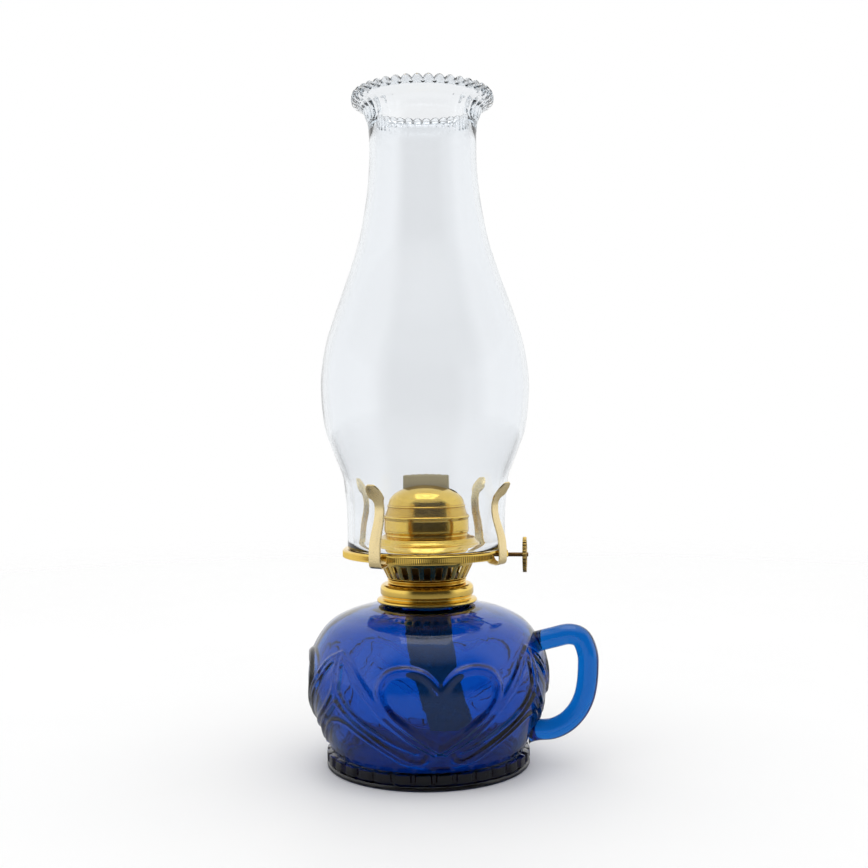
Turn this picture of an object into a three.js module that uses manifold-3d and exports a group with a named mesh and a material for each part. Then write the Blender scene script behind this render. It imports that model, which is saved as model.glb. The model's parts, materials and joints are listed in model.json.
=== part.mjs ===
// Kerosene lamp with a pressed blue glass font, a brass flat-wick burner and a clear glass chimney.
// Millimetres, +Z up. The origin is on the lamp's axis at the plane it stands on, and the handle
// points along +X. Turned pieces are lathe profiles of [radius, height] points.
import * as THREE from 'three';
import { mergeVertices } from 'three/addons/utils/BufferGeometryUtils.js';
import Module from 'manifold-3d';

const wasm = await Module();
wasm.setup();

// ---- Driving dimensions ----------------------------------------------------------------------

const fitGap = 0.3; // between pieces that touch or are joined
const glassSegments = 32; // facets of a turned glass piece
const brassSegments = 24; // facets of a turned brass piece
const smallSegments = 12; // facets of a pin or tube

// Font: the glass oil reservoir, with its foot, neck and finger loop in one pressing.
const fontHeight = 76.5; // plane of the table to the foot of the collar
const fontRadius = 57.1; // widest plain glass, without the raised hearts
const fontWall = 4;
const fontFloor = 5.5;
const footRadius = 48.5;
const footHeight = 7.4;
const footBlocks = 32;
const neckSpread = 3.1; // visible neck under the collar, beyond the filling hole
const neckWall = 2.2;
const neckClearance = 1.8; // screw thread to the glass of the filling hole
const neckRise = 5.6; // neck glass inside the collar
const heartRidge = 1.5; // half width of the raised line, and how far it stands out
const swagRidge = 1.1;
const heartTurns = [-76, 76, 180]; // degrees from the handle to the middle of each heart
const handleReach = 24.3; // widest glass to the outside of the finger loop
const handleThickness = 9.8;

// Collar: the threaded brass ring cemented on the neck.
const collarCover = 2.3; // neck glass to the outside of the collar
const collarLip = 1.7; // how far its foot stands out
const collarHeight = 9.2;
const collarSheet = 1;
const threadRadius = 16; // outside of the burner's screw thread
const threadDepth = 0.6;
const threadPitch = 2.5;
const threadWall = 1.1;
const threadTurns = 3;

// Burner: screw ring, slotted basket, gallery and dome.
const burnerTurn = 1.4; // degrees from the handle to the wick raiser's shaft
const sheet = 0.7; // brass sheet of the pressed pieces
const ringFlange = 3; // how far the screw ring's flange stands out from its thread
const ringFlangeHeight = 2.2;
const basketTopRadius = 23.2;
const basketHeight = 13;
const basketSlots = 24;
const slotWidth = 2.4;
const slotHeight = 6.7;
const rimMargin = 2.1; // chimney's seat to the outside of the gallery's rim
const galleryRimHeight = 3.8;
const rimSheet = 1;
const skirtSheet = 0.8;
const domeRadius = 21.4; // lower band of the dome
const domeShoulderRadius = 18.2; // where the rounded top begins
const domeSeat = 4.3; // how far the dome's foot reaches past the hole in the gallery
const domeBandHeight = 21; // gallery to the start of the rounded top
const domeCapHeight = 9.5;
const domeSlotLength = 30;
const domeSlotWidth = 6.4;

// Wick and wick raiser.
const wickWidth = 22;
const wickThickness = 3;
const wickTop = 5.2; // bare wick above the dome
const wickSlack = 0.45; // free play in the wick tube
const wickTailEnd = 14; // lower end of the wick above the table
const wickTailLean = 12; // how far the tail drifts towards the shaft side
const wickTubeSheet = 0.5;
const wickTubeTopGap = 5; // dome top to the end of the wick tube
const wickTubeTail = 8; // wick tube below the base plate
const spurRadius = 4.6;
const spurTeeth = 12;
const spurThickness = 1.6;
const spurSpacing = 10;
const shaftRadius = 1;
const shaftDrop = 3.2; // underside of the gallery plate to the shaft's axis
const knobReach = 6.6; // gallery's rim to the middle of the knob
const knobRadius = 8.5;
const knobThickness = 1.8;
const knobTeeth = 30;
const ventTubeRadius = 1.5;
const ventTubeHeight = 24;

// Prongs: four spring strips that hold the chimney.
const prongAzimuths = [-116, -28.5, 54.5, 153]; // degrees from the shaft
const prongWidth = 6.5;
const prongSheet = 0.7;
const prongReach = 3; // outside of the prong's bend beyond the gallery's rim
const prongHeight = 32; // gallery plate to the tip
const prongHookDepth = 6.2; // gallery plate to the bottom of the bend
const rivetRadius = 1.5;
const rivetShare = 0.6; // where a rivet stands between the gallery's skirt and the inside of the glass

// Chimney: clear glass with a thick beaded lip.
const chimneyHeight = 217;
const chimneyFootHeight = 35.4; // the straight and slightly spread foot that the prongs grip
const chimneyBaseRadius = 37.8;
const chimneyBulgeRadius = 49.7;
const chimneyNeckRadius = 25.7;
const chimneyLipRadius = 34.2;
const chimneyWall = 2.3;

// ---- Heights and radii that follow from them ---------------------------------------------------

const neckTop = fontHeight + neckRise;
const collarTop = fontHeight + collarHeight;
const ringTop = collarTop + fitGap + ringFlangeHeight;
const basketBottom = ringTop + fitGap;
const basketTop = basketBottom + basketHeight;
const deckBottom = basketTop + fitGap;
const deckTop = deckBottom + sheet + fitGap;
const domeBottom = deckTop + fitGap;
const capBottom = deckTop + domeBandHeight;
const domeTop = capBottom + domeCapHeight;
const chimneyBottom = deckTop + fitGap;
const wickTubeTop = domeTop - wickTubeTopGap;
const shaftHeight = deckBottom - shaftDrop;
const shaftOffset = wickThickness / 2 + fitGap + spurRadius;
const boreRadius = shaftRadius + fitGap;
const galleryHole = basketTopRadius - 1.2;
const gallerySkirt = basketTopRadius + fitGap + skirtSheet;
const domeFlangeRadius = galleryHole + domeSeat;
const neckBore = threadRadius + neckClearance;
const neckRadius = neckBore + neckSpread;
const collarRadius = neckBore + neckWall + collarCover;
const collarLipRadius = collarRadius + collarLip;
const ringFlangeRadius = threadRadius + ringFlange;
const chimneyGrip = chimneyBaseRadius + fitGap;
const galleryRadius = chimneyGrip + rimMargin;
const knobDistance = galleryRadius + knobReach;
const ringRoom = chimneyBaseRadius - chimneyWall - gallerySkirt;
const rivetDistance = gallerySkirt + ringRoom * rivetShare;

// ---- Shape helpers -----------------------------------------------------------------------------

const planes = {
  XY: [new THREE.Vector3(1, 0, 0), new THREE.Vector3(0, 1, 0), new THREE.Vector3(0, 0, 1)],
  XZ: [new THREE.Vector3(1, 0, 0), new THREE.Vector3(0, 0, 1), new THREE.Vector3(0, -1, 0)],
  YZ: [new THREE.Vector3(0, 1, 0), new THREE.Vector3(0, 0, 1), new THREE.Vector3(1, 0, 0)],
};

function radians(degrees) {
  return THREE.MathUtils.degToRad(degrees);
}

// A closed three.js geometry as a solid that can be joined and cut, with its faces pointing out.
function toSolid(geometry) {
  const plain = geometry.clone();
  plain.deleteAttribute('normal');
  plain.deleteAttribute('uv');
  const merged = mergeVertices(plain, 1e-4);
  const vertProperties = merged.attributes.position.array;
  const corners = [];
  for (let i = 0; i < merged.index.count; i += 3) {
    const [a, b, c] = merged.index.array.subarray(i, i + 3);
    if (a !== b && b !== c && c !== a) corners.push(a, b, c);
  }
  const build = (triVerts) => new wasm.Manifold(new wasm.Mesh({ numProp: 3, vertProperties, triVerts }));
  const made = build(new Uint32Array(corners));
  return made.volume() > 0 ? made : build(new Uint32Array(corners).reverse());
}

// A profile of [radius, height] points turned about the Z axis.
function turned(profile, segments = brassSegments) {
  const points = profile.map(([radius, height]) => new THREE.Vector2(Math.max(radius, 0), height));
  return toSolid(new THREE.LatheGeometry(points, segments).rotateX(Math.PI / 2));
}

// A ring or shell: a profile that closes on itself, turned about the Z axis.
function turnedRing(profile, segments = brassSegments) {
  return turned([...profile, profile[0]], segments);
}

// An outline drawn in a plane and pushed along that plane's normal.
function extruded(plane, outline, from, to, holes = []) {
  const shape = new THREE.Shape(outline.map(([u, v]) => new THREE.Vector2(u, v)));
  shape.holes = holes.map((hole) => new THREE.Path(hole.map(([u, v]) => new THREE.Vector2(u, v))));
  const geometry = new THREE.ExtrudeGeometry(shape, { depth: to - from, bevelEnabled: false });
  geometry.translate(0, 0, from).applyMatrix4(new THREE.Matrix4().makeBasis(...planes[plane]));
  return toSolid(geometry);
}

function box(sizeX, sizeY, sizeZ, x, y, z) {
  return toSolid(new THREE.BoxGeometry(sizeX, sizeY, sizeZ).translate(x, y, z));
}

// A round bar along X or Z between two values of that coordinate.
function bar(radius, from, to, axis, [u, v], segments = smallSegments) {
  const plane = { X: 'YZ', Z: 'XY' }[axis];
  return extruded(plane, circle(radius, segments, u, v), from, to);
}

function circle(radius, segments, u = 0, v = 0) {
  return Array.from({ length: segments }, (_, i) => {
    const angle = (2 * Math.PI * i) / segments;
    return [u + radius * Math.cos(angle), v + radius * Math.sin(angle)];
  });
}

// A wheel outline whose teeth stand between two radii.
function toothedCircle(tip, root, teeth) {
  return Array.from({ length: teeth * 2 }, (_, i) => {
    const angle = (Math.PI * (i + 0.5)) / teeth;
    const radius = i % 2 ? root : tip;
    return [radius * Math.cos(angle), radius * Math.sin(angle)];
  });
}

function rectangle(width, height, u = 0, v = 0) {
  const [a, b] = [width / 2, height / 2];
  return [[u - a, v - b], [u + a, v - b], [u + a, v + b], [u - a, v + b]];
}

// Points spread along a smooth line through a few chosen ones.
function smooth(points, count) {
  const curve = new THREE.SplineCurve(points.map(([u, v]) => new THREE.Vector2(u, v)));
  return curve.getPoints(count).map((p) => [p.x, p.y]);
}

// A line moved sideways by a distance, to its left.
function offsetLine(points, distance) {
  return points.map(([u, v], i) => {
    const before = points[Math.max(i - 1, 0)];
    const after = points[Math.min(i + 1, points.length - 1)];
    const along = new THREE.Vector2(after[0] - before[0], after[1] - before[1]).normalize();
    return [u - along.y * distance, v + along.x * distance];
  });
}

// The outline of a bent strip of sheet, from its middle line.
function stripOutline(middle, thickness) {
  return [...offsetLine(middle, -thickness / 2), ...offsetLine(middle, thickness / 2).reverse()];
}

// A round ridge or rod along a space curve.
function rod(points, radius, sides, steps) {
  const curve = new THREE.CatmullRomCurve3(points.map((p) => new THREE.Vector3(...p)));
  const shape = new THREE.Shape(circle(radius, sides).map(([u, v]) => new THREE.Vector2(u, v)));
  return toSolid(new THREE.ExtrudeGeometry(shape, { steps, bevelEnabled: false, extrudePath: curve }));
}

function joined(solids) {
  return solids.reduce((whole, piece) => whole.add(piece));
}

function repeated(count, make) {
  return Array.from({ length: count }, (_, i) => make((360 * i) / count));
}

function mesh(name, solid, material) {
  const { vertProperties, triVerts } = solid.getMesh();
  const geometry = new THREE.BufferGeometry();
  geometry.setAttribute('position', new THREE.BufferAttribute(vertProperties, 3));
  geometry.setIndex(new THREE.BufferAttribute(triVerts, 1));
  const made = new THREE.Mesh(geometry, material);
  made.name = name;
  return made;
}

// ---- Materials ---------------------------------------------------------------------------------

const blueGlass = new THREE.MeshStandardMaterial({ color: 0x0a2fb4, roughness: 0.05, metalness: 0 });
const clearGlass = new THREE.MeshStandardMaterial({ color: 0xf2f6fa, roughness: 0.03, metalness: 0 });
const brass = new THREE.MeshStandardMaterial({ color: 0xd9a93a, roughness: 0.22, metalness: 1 });
const paleBrass = new THREE.MeshStandardMaterial({ color: 0xd8bf86, roughness: 0.3, metalness: 1 });
const darkBrass = new THREE.MeshStandardMaterial({ color: 0x6b4a1c, roughness: 0.35, metalness: 1 });
const plaster = new THREE.MeshStandardMaterial({ color: 0xe6e1d6, roughness: 0.9, metalness: 0 });
const cotton = new THREE.MeshStandardMaterial({ color: 0xcdbf9d, roughness: 0.95, metalness: 0 });

// ---- Font --------------------------------------------------------------------------------------

// Outside of the glass from the foot to the neck, as shares of the widest radius and of the height
// between foot and collar.
const bodyShares = [
  [0.805, 0],
  [0.88, 0.145],
  [0.962, 0.298],
  [1, 0.472],
  [0.98, 0.645],
  [0.92, 0.764],
  [0.815, 0.87],
  [0.654, 0.939],
  [0.47, 0.977],
];

function bodyOutline(count) {
  const rise = fontHeight - footHeight;
  return smooth(bodyShares.map(([r, h]) => [fontRadius * r, footHeight + rise * h]), count);
}

function glassRadiusAt(height) {
  const outline = bodyOutline(200);
  return outline.find(([, z]) => z >= height)[0];
}

function onGlass(azimuth, height, lift = 0) {
  const radius = glassRadiusAt(height) + lift;
  const angle = radians(azimuth);
  return [radius * Math.cos(angle), radius * Math.sin(angle), height];
}

// Half a heart, from the notch round a lobe to the tip: degrees from its middle, and share of the
// height between foot and collar.
const heartShares = [[0, 0.57], [6, 0.662], [15.5, 0.71], [24.5, 0.678], [28, 0.585],
  [25, 0.46], [18, 0.345], [9.5, 0.25], [0, 0.175]];
// Half a swag, from its peak between two hearts to the curl under a heart's tip.
const swagShares = [[52, 0.75], [44, 0.67], [34, 0.53], [20.5, 0.3], [9, 0.125], [4, 0.085]];

function ridge(shares, middle, side, radius, steps) {
  const rise = fontHeight - footHeight;
  const points = shares.map(([degrees, h]) => onGlass(middle + side * degrees, footHeight + rise * h));
  return rod(points, radius, 5, steps);
}

function raisedPattern() {
  return heartTurns.flatMap((middle) => [-1, 1].flatMap((side) => [
    ridge(heartShares, middle, side, heartRidge, 12),
    ridge(swagShares, middle, side, swagRidge, 6),
  ]));
}

function handle() {
  const reach = fontRadius + handleReach - handleThickness / 2;
  const rise = fontHeight - footHeight;
  const root = fontRadius - 6;
  const span = reach - root;
  const loop = [[0, 0.73], [0.35, 0.765], [0.66, 0.79], [0.88, 0.76], [0.99, 0.66], [1, 0.56],
    [0.975, 0.45], [0.91, 0.35], [0.78, 0.26], [0.58, 0.185], [0.33, 0.14], [0.05, 0.13]];
  const points = loop.map(([out, up]) => [root + span * out, 0, footHeight + rise * up]);
  return rod(points, handleThickness / 2, 8, 16);
}

function footRing() {
  const blockDepth = 1.6;
  const blockBottom = 2.4;
  const ring = turned([
    [0, 0], [footRadius - 0.5, 0], [footRadius, 0.6], [footRadius - 0.4, blockBottom],
    [footRadius - blockDepth - 0.6, blockBottom], [footRadius - blockDepth - 0.8, footHeight + 0.4],
    [0, footHeight + 0.4],
  ], glassSegments);
  const width = (2 * Math.PI * footRadius) / footBlocks - 2.6;
  const height = footHeight - blockBottom;
  const middle = footRadius - blockDepth;
  const block = box(blockDepth * 2, width, height, middle - 0.5, 0, blockBottom + height / 2 - 0.2);
  return [ring, ...repeated(footBlocks, (turn) => block.rotate([0, 0, turn]))];
}

function font() {
  const body = bodyOutline(11);
  const shoulder = body[body.length - 1];
  const neckOutside = neckBore + neckWall;
  const outside = turned([
    [0, footHeight - 1], ...body, [neckRadius + 1.2, shoulder[1] + 0.9], [neckRadius, fontHeight - 0.3],
    [neckRadius, fontHeight], [neckOutside, fontHeight], [neckOutside, neckTop], [0, neckTop],
  ], glassSegments);
  const inside = offsetLine(bodyOutline(8), fontWall).filter(([radius]) => radius > neckBore + 1);
  const floorRadius = inside[0][0];
  const cavity = turned([
    [0, fontFloor], [floorRadius - 4, fontFloor], [floorRadius - 1, fontFloor + 1.5], ...inside.slice(1),
    [neckBore, fontHeight - fontWall - 1], [neckBore, neckTop + 1], [0, neckTop + 1],
  ], glassSegments);
  return joined([outside, ...footRing(), handle(), ...raisedPattern()]).subtract(cavity);
}

// ---- Collar and its cement ---------------------------------------------------------------------

// A wall with rounded thread ridges, as points from top to bottom on one side of a sleeve.
function threadLine(radius, top, depth) {
  const points = [];
  for (let turn = 0; turn < threadTurns; turn += 1) {
    const crest = top - turn * threadPitch;
    points.push([radius - depth, crest], [radius, crest - threadPitch * 0.5]);
  }
  points.push([radius - depth, top - threadTurns * threadPitch]);
  return points;
}

const threadTop = collarTop - 0.6;
const threadBottom = threadTop - threadTurns * threadPitch;

function collar() {
  const inside = threadLine(threadRadius + fitGap, threadTop, 0);
  const threadOutside = threadRadius + fitGap + collarSheet - 0.2;
  const skirtInside = collarRadius - collarSheet;
  return turnedRing([
    ...inside, [threadOutside, threadBottom], [threadOutside, collarTop - collarSheet],
    [skirtInside, collarTop - collarSheet], [skirtInside, fontHeight + fitGap],
    [collarLipRadius - 1.2, fontHeight + fitGap], [collarLipRadius, fontHeight + 1],
    [collarLipRadius - 0.3, fontHeight + 1.8], [collarRadius - 0.6, fontHeight + 2.8],
    [collarRadius - 0.5, fontHeight + 3.6], [collarRadius, fontHeight + 4.6],
    [collarRadius, collarTop - 1.2], [collarRadius - 0.8, collarTop - 0.2], [collarRadius - 1.6, collarTop],
    [threadRadius + fitGap, collarTop],
  ]);
}

function collarCement() {
  const innerLeg = threadRadius + 2 * fitGap + collarSheet - 0.2;
  const glassInside = neckBore + neckWall + fitGap;
  const skirt = collarRadius - collarSheet - fitGap;
  const roof = collarTop - collarSheet - fitGap;
  return turnedRing([
    [innerLeg, neckTop + fitGap], [glassInside, neckTop + fitGap], [glassInside, fontHeight + 1],
    [skirt, fontHeight + 1], [skirt, roof], [innerLeg, roof],
  ]);
}

// ---- Screw ring and base plate -----------------------------------------------------------------

function screwRing() {
  const bore = threadRadius - threadWall;
  const flangeBottom = collarTop + fitGap;
  return turnedRing([
    ...threadLine(threadRadius, threadTop, threadDepth).reverse(),
    [threadRadius - threadDepth, flangeBottom], [ringFlangeRadius - 0.3, flangeBottom],
    [ringFlangeRadius, flangeBottom + 0.4], [ringFlangeRadius - 0.5, flangeBottom + 1.1],
    [ringFlangeRadius, flangeBottom + 1.8], [ringFlangeRadius - 0.3, ringTop],
    [bore, ringTop], [bore, threadBottom],
  ]);
}

const wickTubeWidth = wickWidth + 2 * (wickSlack + wickTubeSheet);
const wickTubeDepth = wickThickness + 2 * (wickSlack + wickTubeSheet);
const ventTubePlace = [wickTubeWidth / 2 - 3, -(wickTubeDepth / 2 + fitGap + ventTubeRadius + 0.8)];

// The hole through a plate for the wick tube.
function wickTubeHole() {
  return rectangle(wickTubeWidth + 2 * fitGap, wickTubeDepth + 2 * fitGap);
}

function basePlate() {
  const radius = ringFlangeRadius - sheet - fitGap;
  const ventHole = circle(ventTubeRadius + fitGap, 8, ...ventTubePlace);
  return extruded('XY', circle(radius, 32), basketBottom, basketBottom + 0.8, [wickTubeHole(), ventHole]);
}

// ---- Basket, gallery and dome ------------------------------------------------------------------

function shaftHole(radius) {
  return bar(radius, 12, galleryRadius + 2, 'X', [shaftOffset, shaftHeight]);
}

function ventBasket() {
  const coneTop = basketBottom + slotHeight + 0.5;
  const outside = [
    [ringFlangeRadius, basketBottom], [basketTopRadius - 0.7, coneTop], [basketTopRadius, coneTop + 2.4],
    [basketTopRadius, basketTop],
  ];
  const inside = outside.map(([radius, height]) => [radius - sheet, height]).reverse();
  const cutter = box(10, slotWidth, slotHeight, ringFlangeRadius, 0, basketBottom + slotHeight / 2 + 0.3);
  const slots = repeated(basketSlots, (turn) => cutter.rotate([0, 0, turn + 180 / basketSlots]));
  const cuts = joined([...slots, shaftHole(bushingRadius + fitGap)]);
  return turnedRing([...outside, ...inside]).subtract(cuts);
}

function gallery() {
  const flange = basketTopRadius + fitGap;
  const rimInside = galleryRadius - rimSheet;
  const rimBottom = deckTop - galleryRimHeight;
  const beadIn = domeFlangeRadius + fitGap;
  const beadOut = rivetDistance - rivetRadius;
  const slope = (beadOut - beadIn) * 0.14;
  const ring = turnedRing([
    [galleryHole, deckBottom], [flange, deckBottom], [flange, deckBottom - 4.2],
    [gallerySkirt, deckBottom - 4.2], [gallerySkirt, deckBottom], [rimInside, deckBottom],
    [rimInside, rimBottom], [galleryRadius, rimBottom], [galleryRadius, deckTop - 0.8],
    [galleryRadius - 0.3, deckTop - 0.2], [galleryRadius - 0.9, deckTop], [beadOut, deckTop],
    [beadOut - slope, deckTop + 0.5], [beadIn + slope, deckTop + 0.5],
    [beadIn, deckTop], [galleryHole, deckTop],
  ]);
  const notchReach = rimMargin + 4;
  const notch = box(notchReach, prongWidth + 1.6, 12, chimneyGrip + notchReach / 2, 0, deckTop);
  const notches = prongAzimuths.map((azimuth) => notch.rotate([0, 0, azimuth]));
  const rivetHole = bar(rivetRadius * 0.7, deckBottom - 1, deckTop + 2, 'Z', [rivetDistance, 0], 8);
  const rivetHoles = prongAzimuths.map((azimuth) => rivetHole.rotate([0, 0, azimuth]));
  return ring.subtract(joined([shaftClearance(), ...notches, ...rivetHoles]));
}

// The rim is cut away where the shaft passes, out from the chimney's seat.
function shaftClearance() {
  const halfAngle = radians(20);
  const middle = Math.asin(shaftOffset / galleryRadius);
  const far = galleryRadius + 6;
  const corner = (radius, angle) => [radius * Math.cos(angle), radius * Math.sin(angle)];
  const steps = 6;
  const near = Array.from({ length: steps + 1 }, (_, i) => {
    return corner(chimneyGrip, middle - halfAngle + (2 * halfAngle * i) / steps);
  });
  const outline = [...near, corner(far, middle + halfAngle), corner(far, middle - halfAngle)];
  const wedge = extruded('XY', outline, deckTop - galleryRimHeight - 1, deckTop + 1);
  return wedge.add(shaftHole(bushingRadius + fitGap));
}

function dome() {
  const cap = [];
  const capSteps = 5;
  for (let i = 0; i <= capSteps; i += 1) {
    const angle = (Math.PI / 2) * (i / capSteps);
    cap.push([domeShoulderRadius * Math.sin(angle), capBottom + domeCapHeight * Math.cos(angle)]);
  }
  const bandStep = domeBottom + 14.6;
  const bandFoot = domeBottom + 8;
  const outside = [
    ...cap, [domeShoulderRadius + 0.3, capBottom - 0.5], [domeRadius - 1.6, bandStep + 0.6],
    [domeRadius - 1, bandStep], [domeRadius, bandFoot], [domeRadius + 1.2, bandFoot - 2.4],
    [domeFlangeRadius - 1.6, domeBottom + 2.9], [domeFlangeRadius - 0.2, domeBottom + 1.4],
    [domeFlangeRadius, domeBottom],
  ];
  const inside = offsetLine(outside, -sheet).reverse();
  inside[0] = [domeFlangeRadius - sheet, domeBottom];
  inside[inside.length - 1][0] = 0;
  const slot = box(domeSlotLength, domeSlotWidth, domeCapHeight * 2, 0, 0, domeTop);
  return turned([...outside, ...inside]).subtract(slot);
}

function airDiffuser() {
  const radius = domeFlangeRadius - 1.6 - sheet - 3 * fitGap;
  const ventHole = circle(ventTubeRadius + fitGap, 8, ...ventTubePlace);
  const airHoles = repeated(20, (turn) => {
    const angle = radians(turn);
    return circle(1.2, 6, (radius - 3) * Math.cos(angle), (radius - 3) * Math.sin(angle));
  });
  const bottom = housingTop + fitGap;
  return extruded('XY', circle(radius, 32), bottom, bottom + sheet, [wickTubeHole(), ventHole, ...airHoles]);
}

// ---- Wick, wick tube and vent tube -------------------------------------------------------------

function wickTube() {
  const bottom = basketBottom - wickTubeTail;
  const outside = rectangle(wickTubeWidth, wickTubeDepth);
  const inside = rectangle(wickWidth + 2 * wickSlack, wickThickness + 2 * wickSlack);
  const windowHeight = 2 * Math.sqrt(spurRadius ** 2 - (spurRadius - 1) ** 2) + 2.4;
  const place = wickTubeDepth / 2;
  const windows = [-1, 1].map((side) => {
    return box(spurThickness + 1.2, 2, windowHeight, (side * spurSpacing) / 2, place, shaftHeight);
  });
  return extruded('XY', outside, bottom, wickTubeTop, [inside]).subtract(joined(windows));
}

function wick() {
  const top = domeTop + wickTop;
  const straightTo = basketBottom - wickTubeTail;
  const steps = 8;
  const drift = (height) => wickTailLean * ((straightTo - height) / (straightTo - wickTailEnd)) ** 2;
  const side = (edge) => Array.from({ length: steps + 1 }, (_, i) => {
    const height = straightTo + ((wickTailEnd - straightTo) * i) / steps;
    return [edge + drift(height), height];
  });
  const half = wickWidth / 2;
  const outline = [[-half, top - 0.6], [-half / 2, top], [half / 2, top], [half, top - 0.6],
    ...side(half), ...side(-half).reverse()];
  return extruded('XZ', outline, -wickThickness / 2, wickThickness / 2);
}

function ventTube() {
  const bottom = basketBottom - 3;
  const wall = 0.5;
  const bore = circle(ventTubeRadius - wall, 8, ...ventTubePlace);
  return extruded('XY', circle(ventTubeRadius, 8, ...ventTubePlace), bottom, bottom + ventTubeHeight, [bore]);
}

// ---- Wick raiser -------------------------------------------------------------------------------

const bushingRadius = boreRadius + 0.8;
const housingHalf = spurSpacing / 2 + spurThickness / 2 + 2;
const housingDepth = shaftOffset + spurRadius + 1;
const housingTop = shaftHeight + spurRadius + 1.2;
const housingBottom = shaftHeight - spurRadius - 1.2;

function raiserShaft() {
  const end = knobDistance + knobThickness / 2 + 0.8;
  return bar(shaftRadius, -housingHalf - 1.5, end, 'X', [shaftOffset, shaftHeight]);
}

// A toothed disc on the shaft, with a bore that clears it.
function shaftWheel(tip, root, teeth, thickness, middle) {
  const bore = circle(boreRadius, smallSegments);
  const from = middle - thickness / 2;
  const wheel = extruded('YZ', toothedCircle(tip, root, teeth), from, from + thickness, [bore]);
  return wheel.translate([0, shaftOffset, shaftHeight]);
}

function knobWheel() {
  return shaftWheel(knobRadius, knobRadius - 0.5, knobTeeth, knobThickness, knobDistance);
}

function spurWheel(side) {
  return shaftWheel(spurRadius, spurRadius - 1.3, spurTeeth, spurThickness, (side * spurSpacing) / 2);
}

// A folded cover over the spur wheels, open towards the wick tube.
function raiserHousing() {
  const wall = 0.6;
  const front = wickTubeDepth / 2 + fitGap;
  const height = housingTop - housingBottom;
  const middle = (housingTop + housingBottom) / 2;
  const depth = housingDepth - front;
  const outside = box(2 * housingHalf, depth, height, 0, front + depth / 2, middle);
  const inside = box(2 * (housingHalf - wall), depth, height - 2 * wall, 0, front + depth / 2 - wall, middle);
  const holes = bar(boreRadius, -housingHalf - 1, housingHalf + 1, 'X', [shaftOffset, shaftHeight]);
  return outside.subtract(inside).subtract(holes);
}

function shaftBushing() {
  const wallPlace = Math.sqrt(basketTopRadius ** 2 - shaftOffset ** 2);
  const bore = circle(boreRadius, smallSegments, shaftOffset, shaftHeight);
  const outline = circle(bushingRadius, smallSegments, shaftOffset, shaftHeight);
  return extruded('YZ', outline, wallPlace - 2.5, wallPlace + 3.5, [bore]);
}

// ---- Prongs, their brackets and rivets, in a frame whose X axis points out through the prong --------

const hookBottom = deckTop - prongHookDepth;
const hookSplit = galleryRadius - 0.7;

function prong() {
  const bend = galleryRadius + prongReach - prongSheet / 2;
  const grip = chimneyGrip + fitGap + prongSheet / 2;
  const tip = deckTop + prongHeight;
  const middle = smooth([
    [hookSplit + fitGap, hookBottom + 0.7], [bend - 1.2, hookBottom + 0.7], [bend, hookBottom + 3],
    [bend - 0.5, deckTop + 6], [grip + 0.6, deckTop + prongHeight * 0.48],
    [grip, deckTop + prongHeight * 0.64], [grip + 0.7, deckTop + prongHeight * 0.76],
    [grip + 3, deckTop + prongHeight * 0.88], [grip + 7, tip],
  ], 22);
  const strip = extruded('XZ', stripOutline(middle, prongSheet), -prongWidth, prongWidth);
  const half = prongWidth / 2;
  const front = [[half, hookBottom - 2], [half, deckTop + 8], [half - 0.6, deckTop + prongHeight * 0.6],
    [half - 0.6, deckTop + prongHeight * 0.76], [half + 1, deckTop + prongHeight * 0.85],
    [half + 0.8, deckTop + prongHeight * 0.92], [half - 1.2, tip + 1], [0.4, tip - 0.2]];
  const outline = [...front, ...front.map(([u, v]) => [-u, v]).reverse()];
  return strip.intersect(extruded('YZ', outline, 0, galleryRadius * 2));
}

function prongBracket() {
  const top = deckBottom - fitGap - prongSheet / 2;
  const reach = hookSplit - rivetDistance;
  const middle = [
    [gallerySkirt + ringRoom * 0.3, top], [rivetDistance + reach * 0.35, top],
    [rivetDistance + reach * 0.52, top - 0.6], [rivetDistance + reach * 0.72, hookBottom + 1.3],
    [hookSplit - fitGap, hookBottom + 0.7],
  ];
  const half = prongWidth / 2;
  const strip = extruded('XZ', stripOutline(middle, prongSheet), -half, half);
  return strip.subtract(bar(rivetRadius * 0.7, top - 2, top + 2, 'Z', [rivetDistance, 0], 8));
}

function prongRivet() {
  const bracketBottom = deckBottom - fitGap - prongSheet;
  const shank = rivetRadius * 0.7 - fitGap;
  return turned([
    [0, bracketBottom - fitGap - 0.8], [rivetRadius, bracketBottom - fitGap - 0.8],
    [rivetRadius, bracketBottom - fitGap], [shank, bracketBottom - fitGap], [shank, deckTop + fitGap],
    [rivetRadius, deckTop + fitGap], [rivetRadius * 0.8, deckTop + 0.9], [0, deckTop + 1.1],
  ], 12).translate([rivetDistance, 0, 0]);
}

// ---- Chimney -----------------------------------------------------------------------------------

// Outside of the glass above its foot: shares of the way from neck radius to bulge radius, and of
// the height that is left.
const chimneyShares = [
  [0.79, 0.0633], [0.93, 0.1195], [1, 0.2055], [0.985, 0.271], [0.88, 0.3487], [0.66, 0.4383],
  [0.42, 0.528], [0.235, 0.6056], [0.12, 0.6773], [0.04, 0.749], [0, 0.8207], [0, 0.8865],
];

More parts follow.
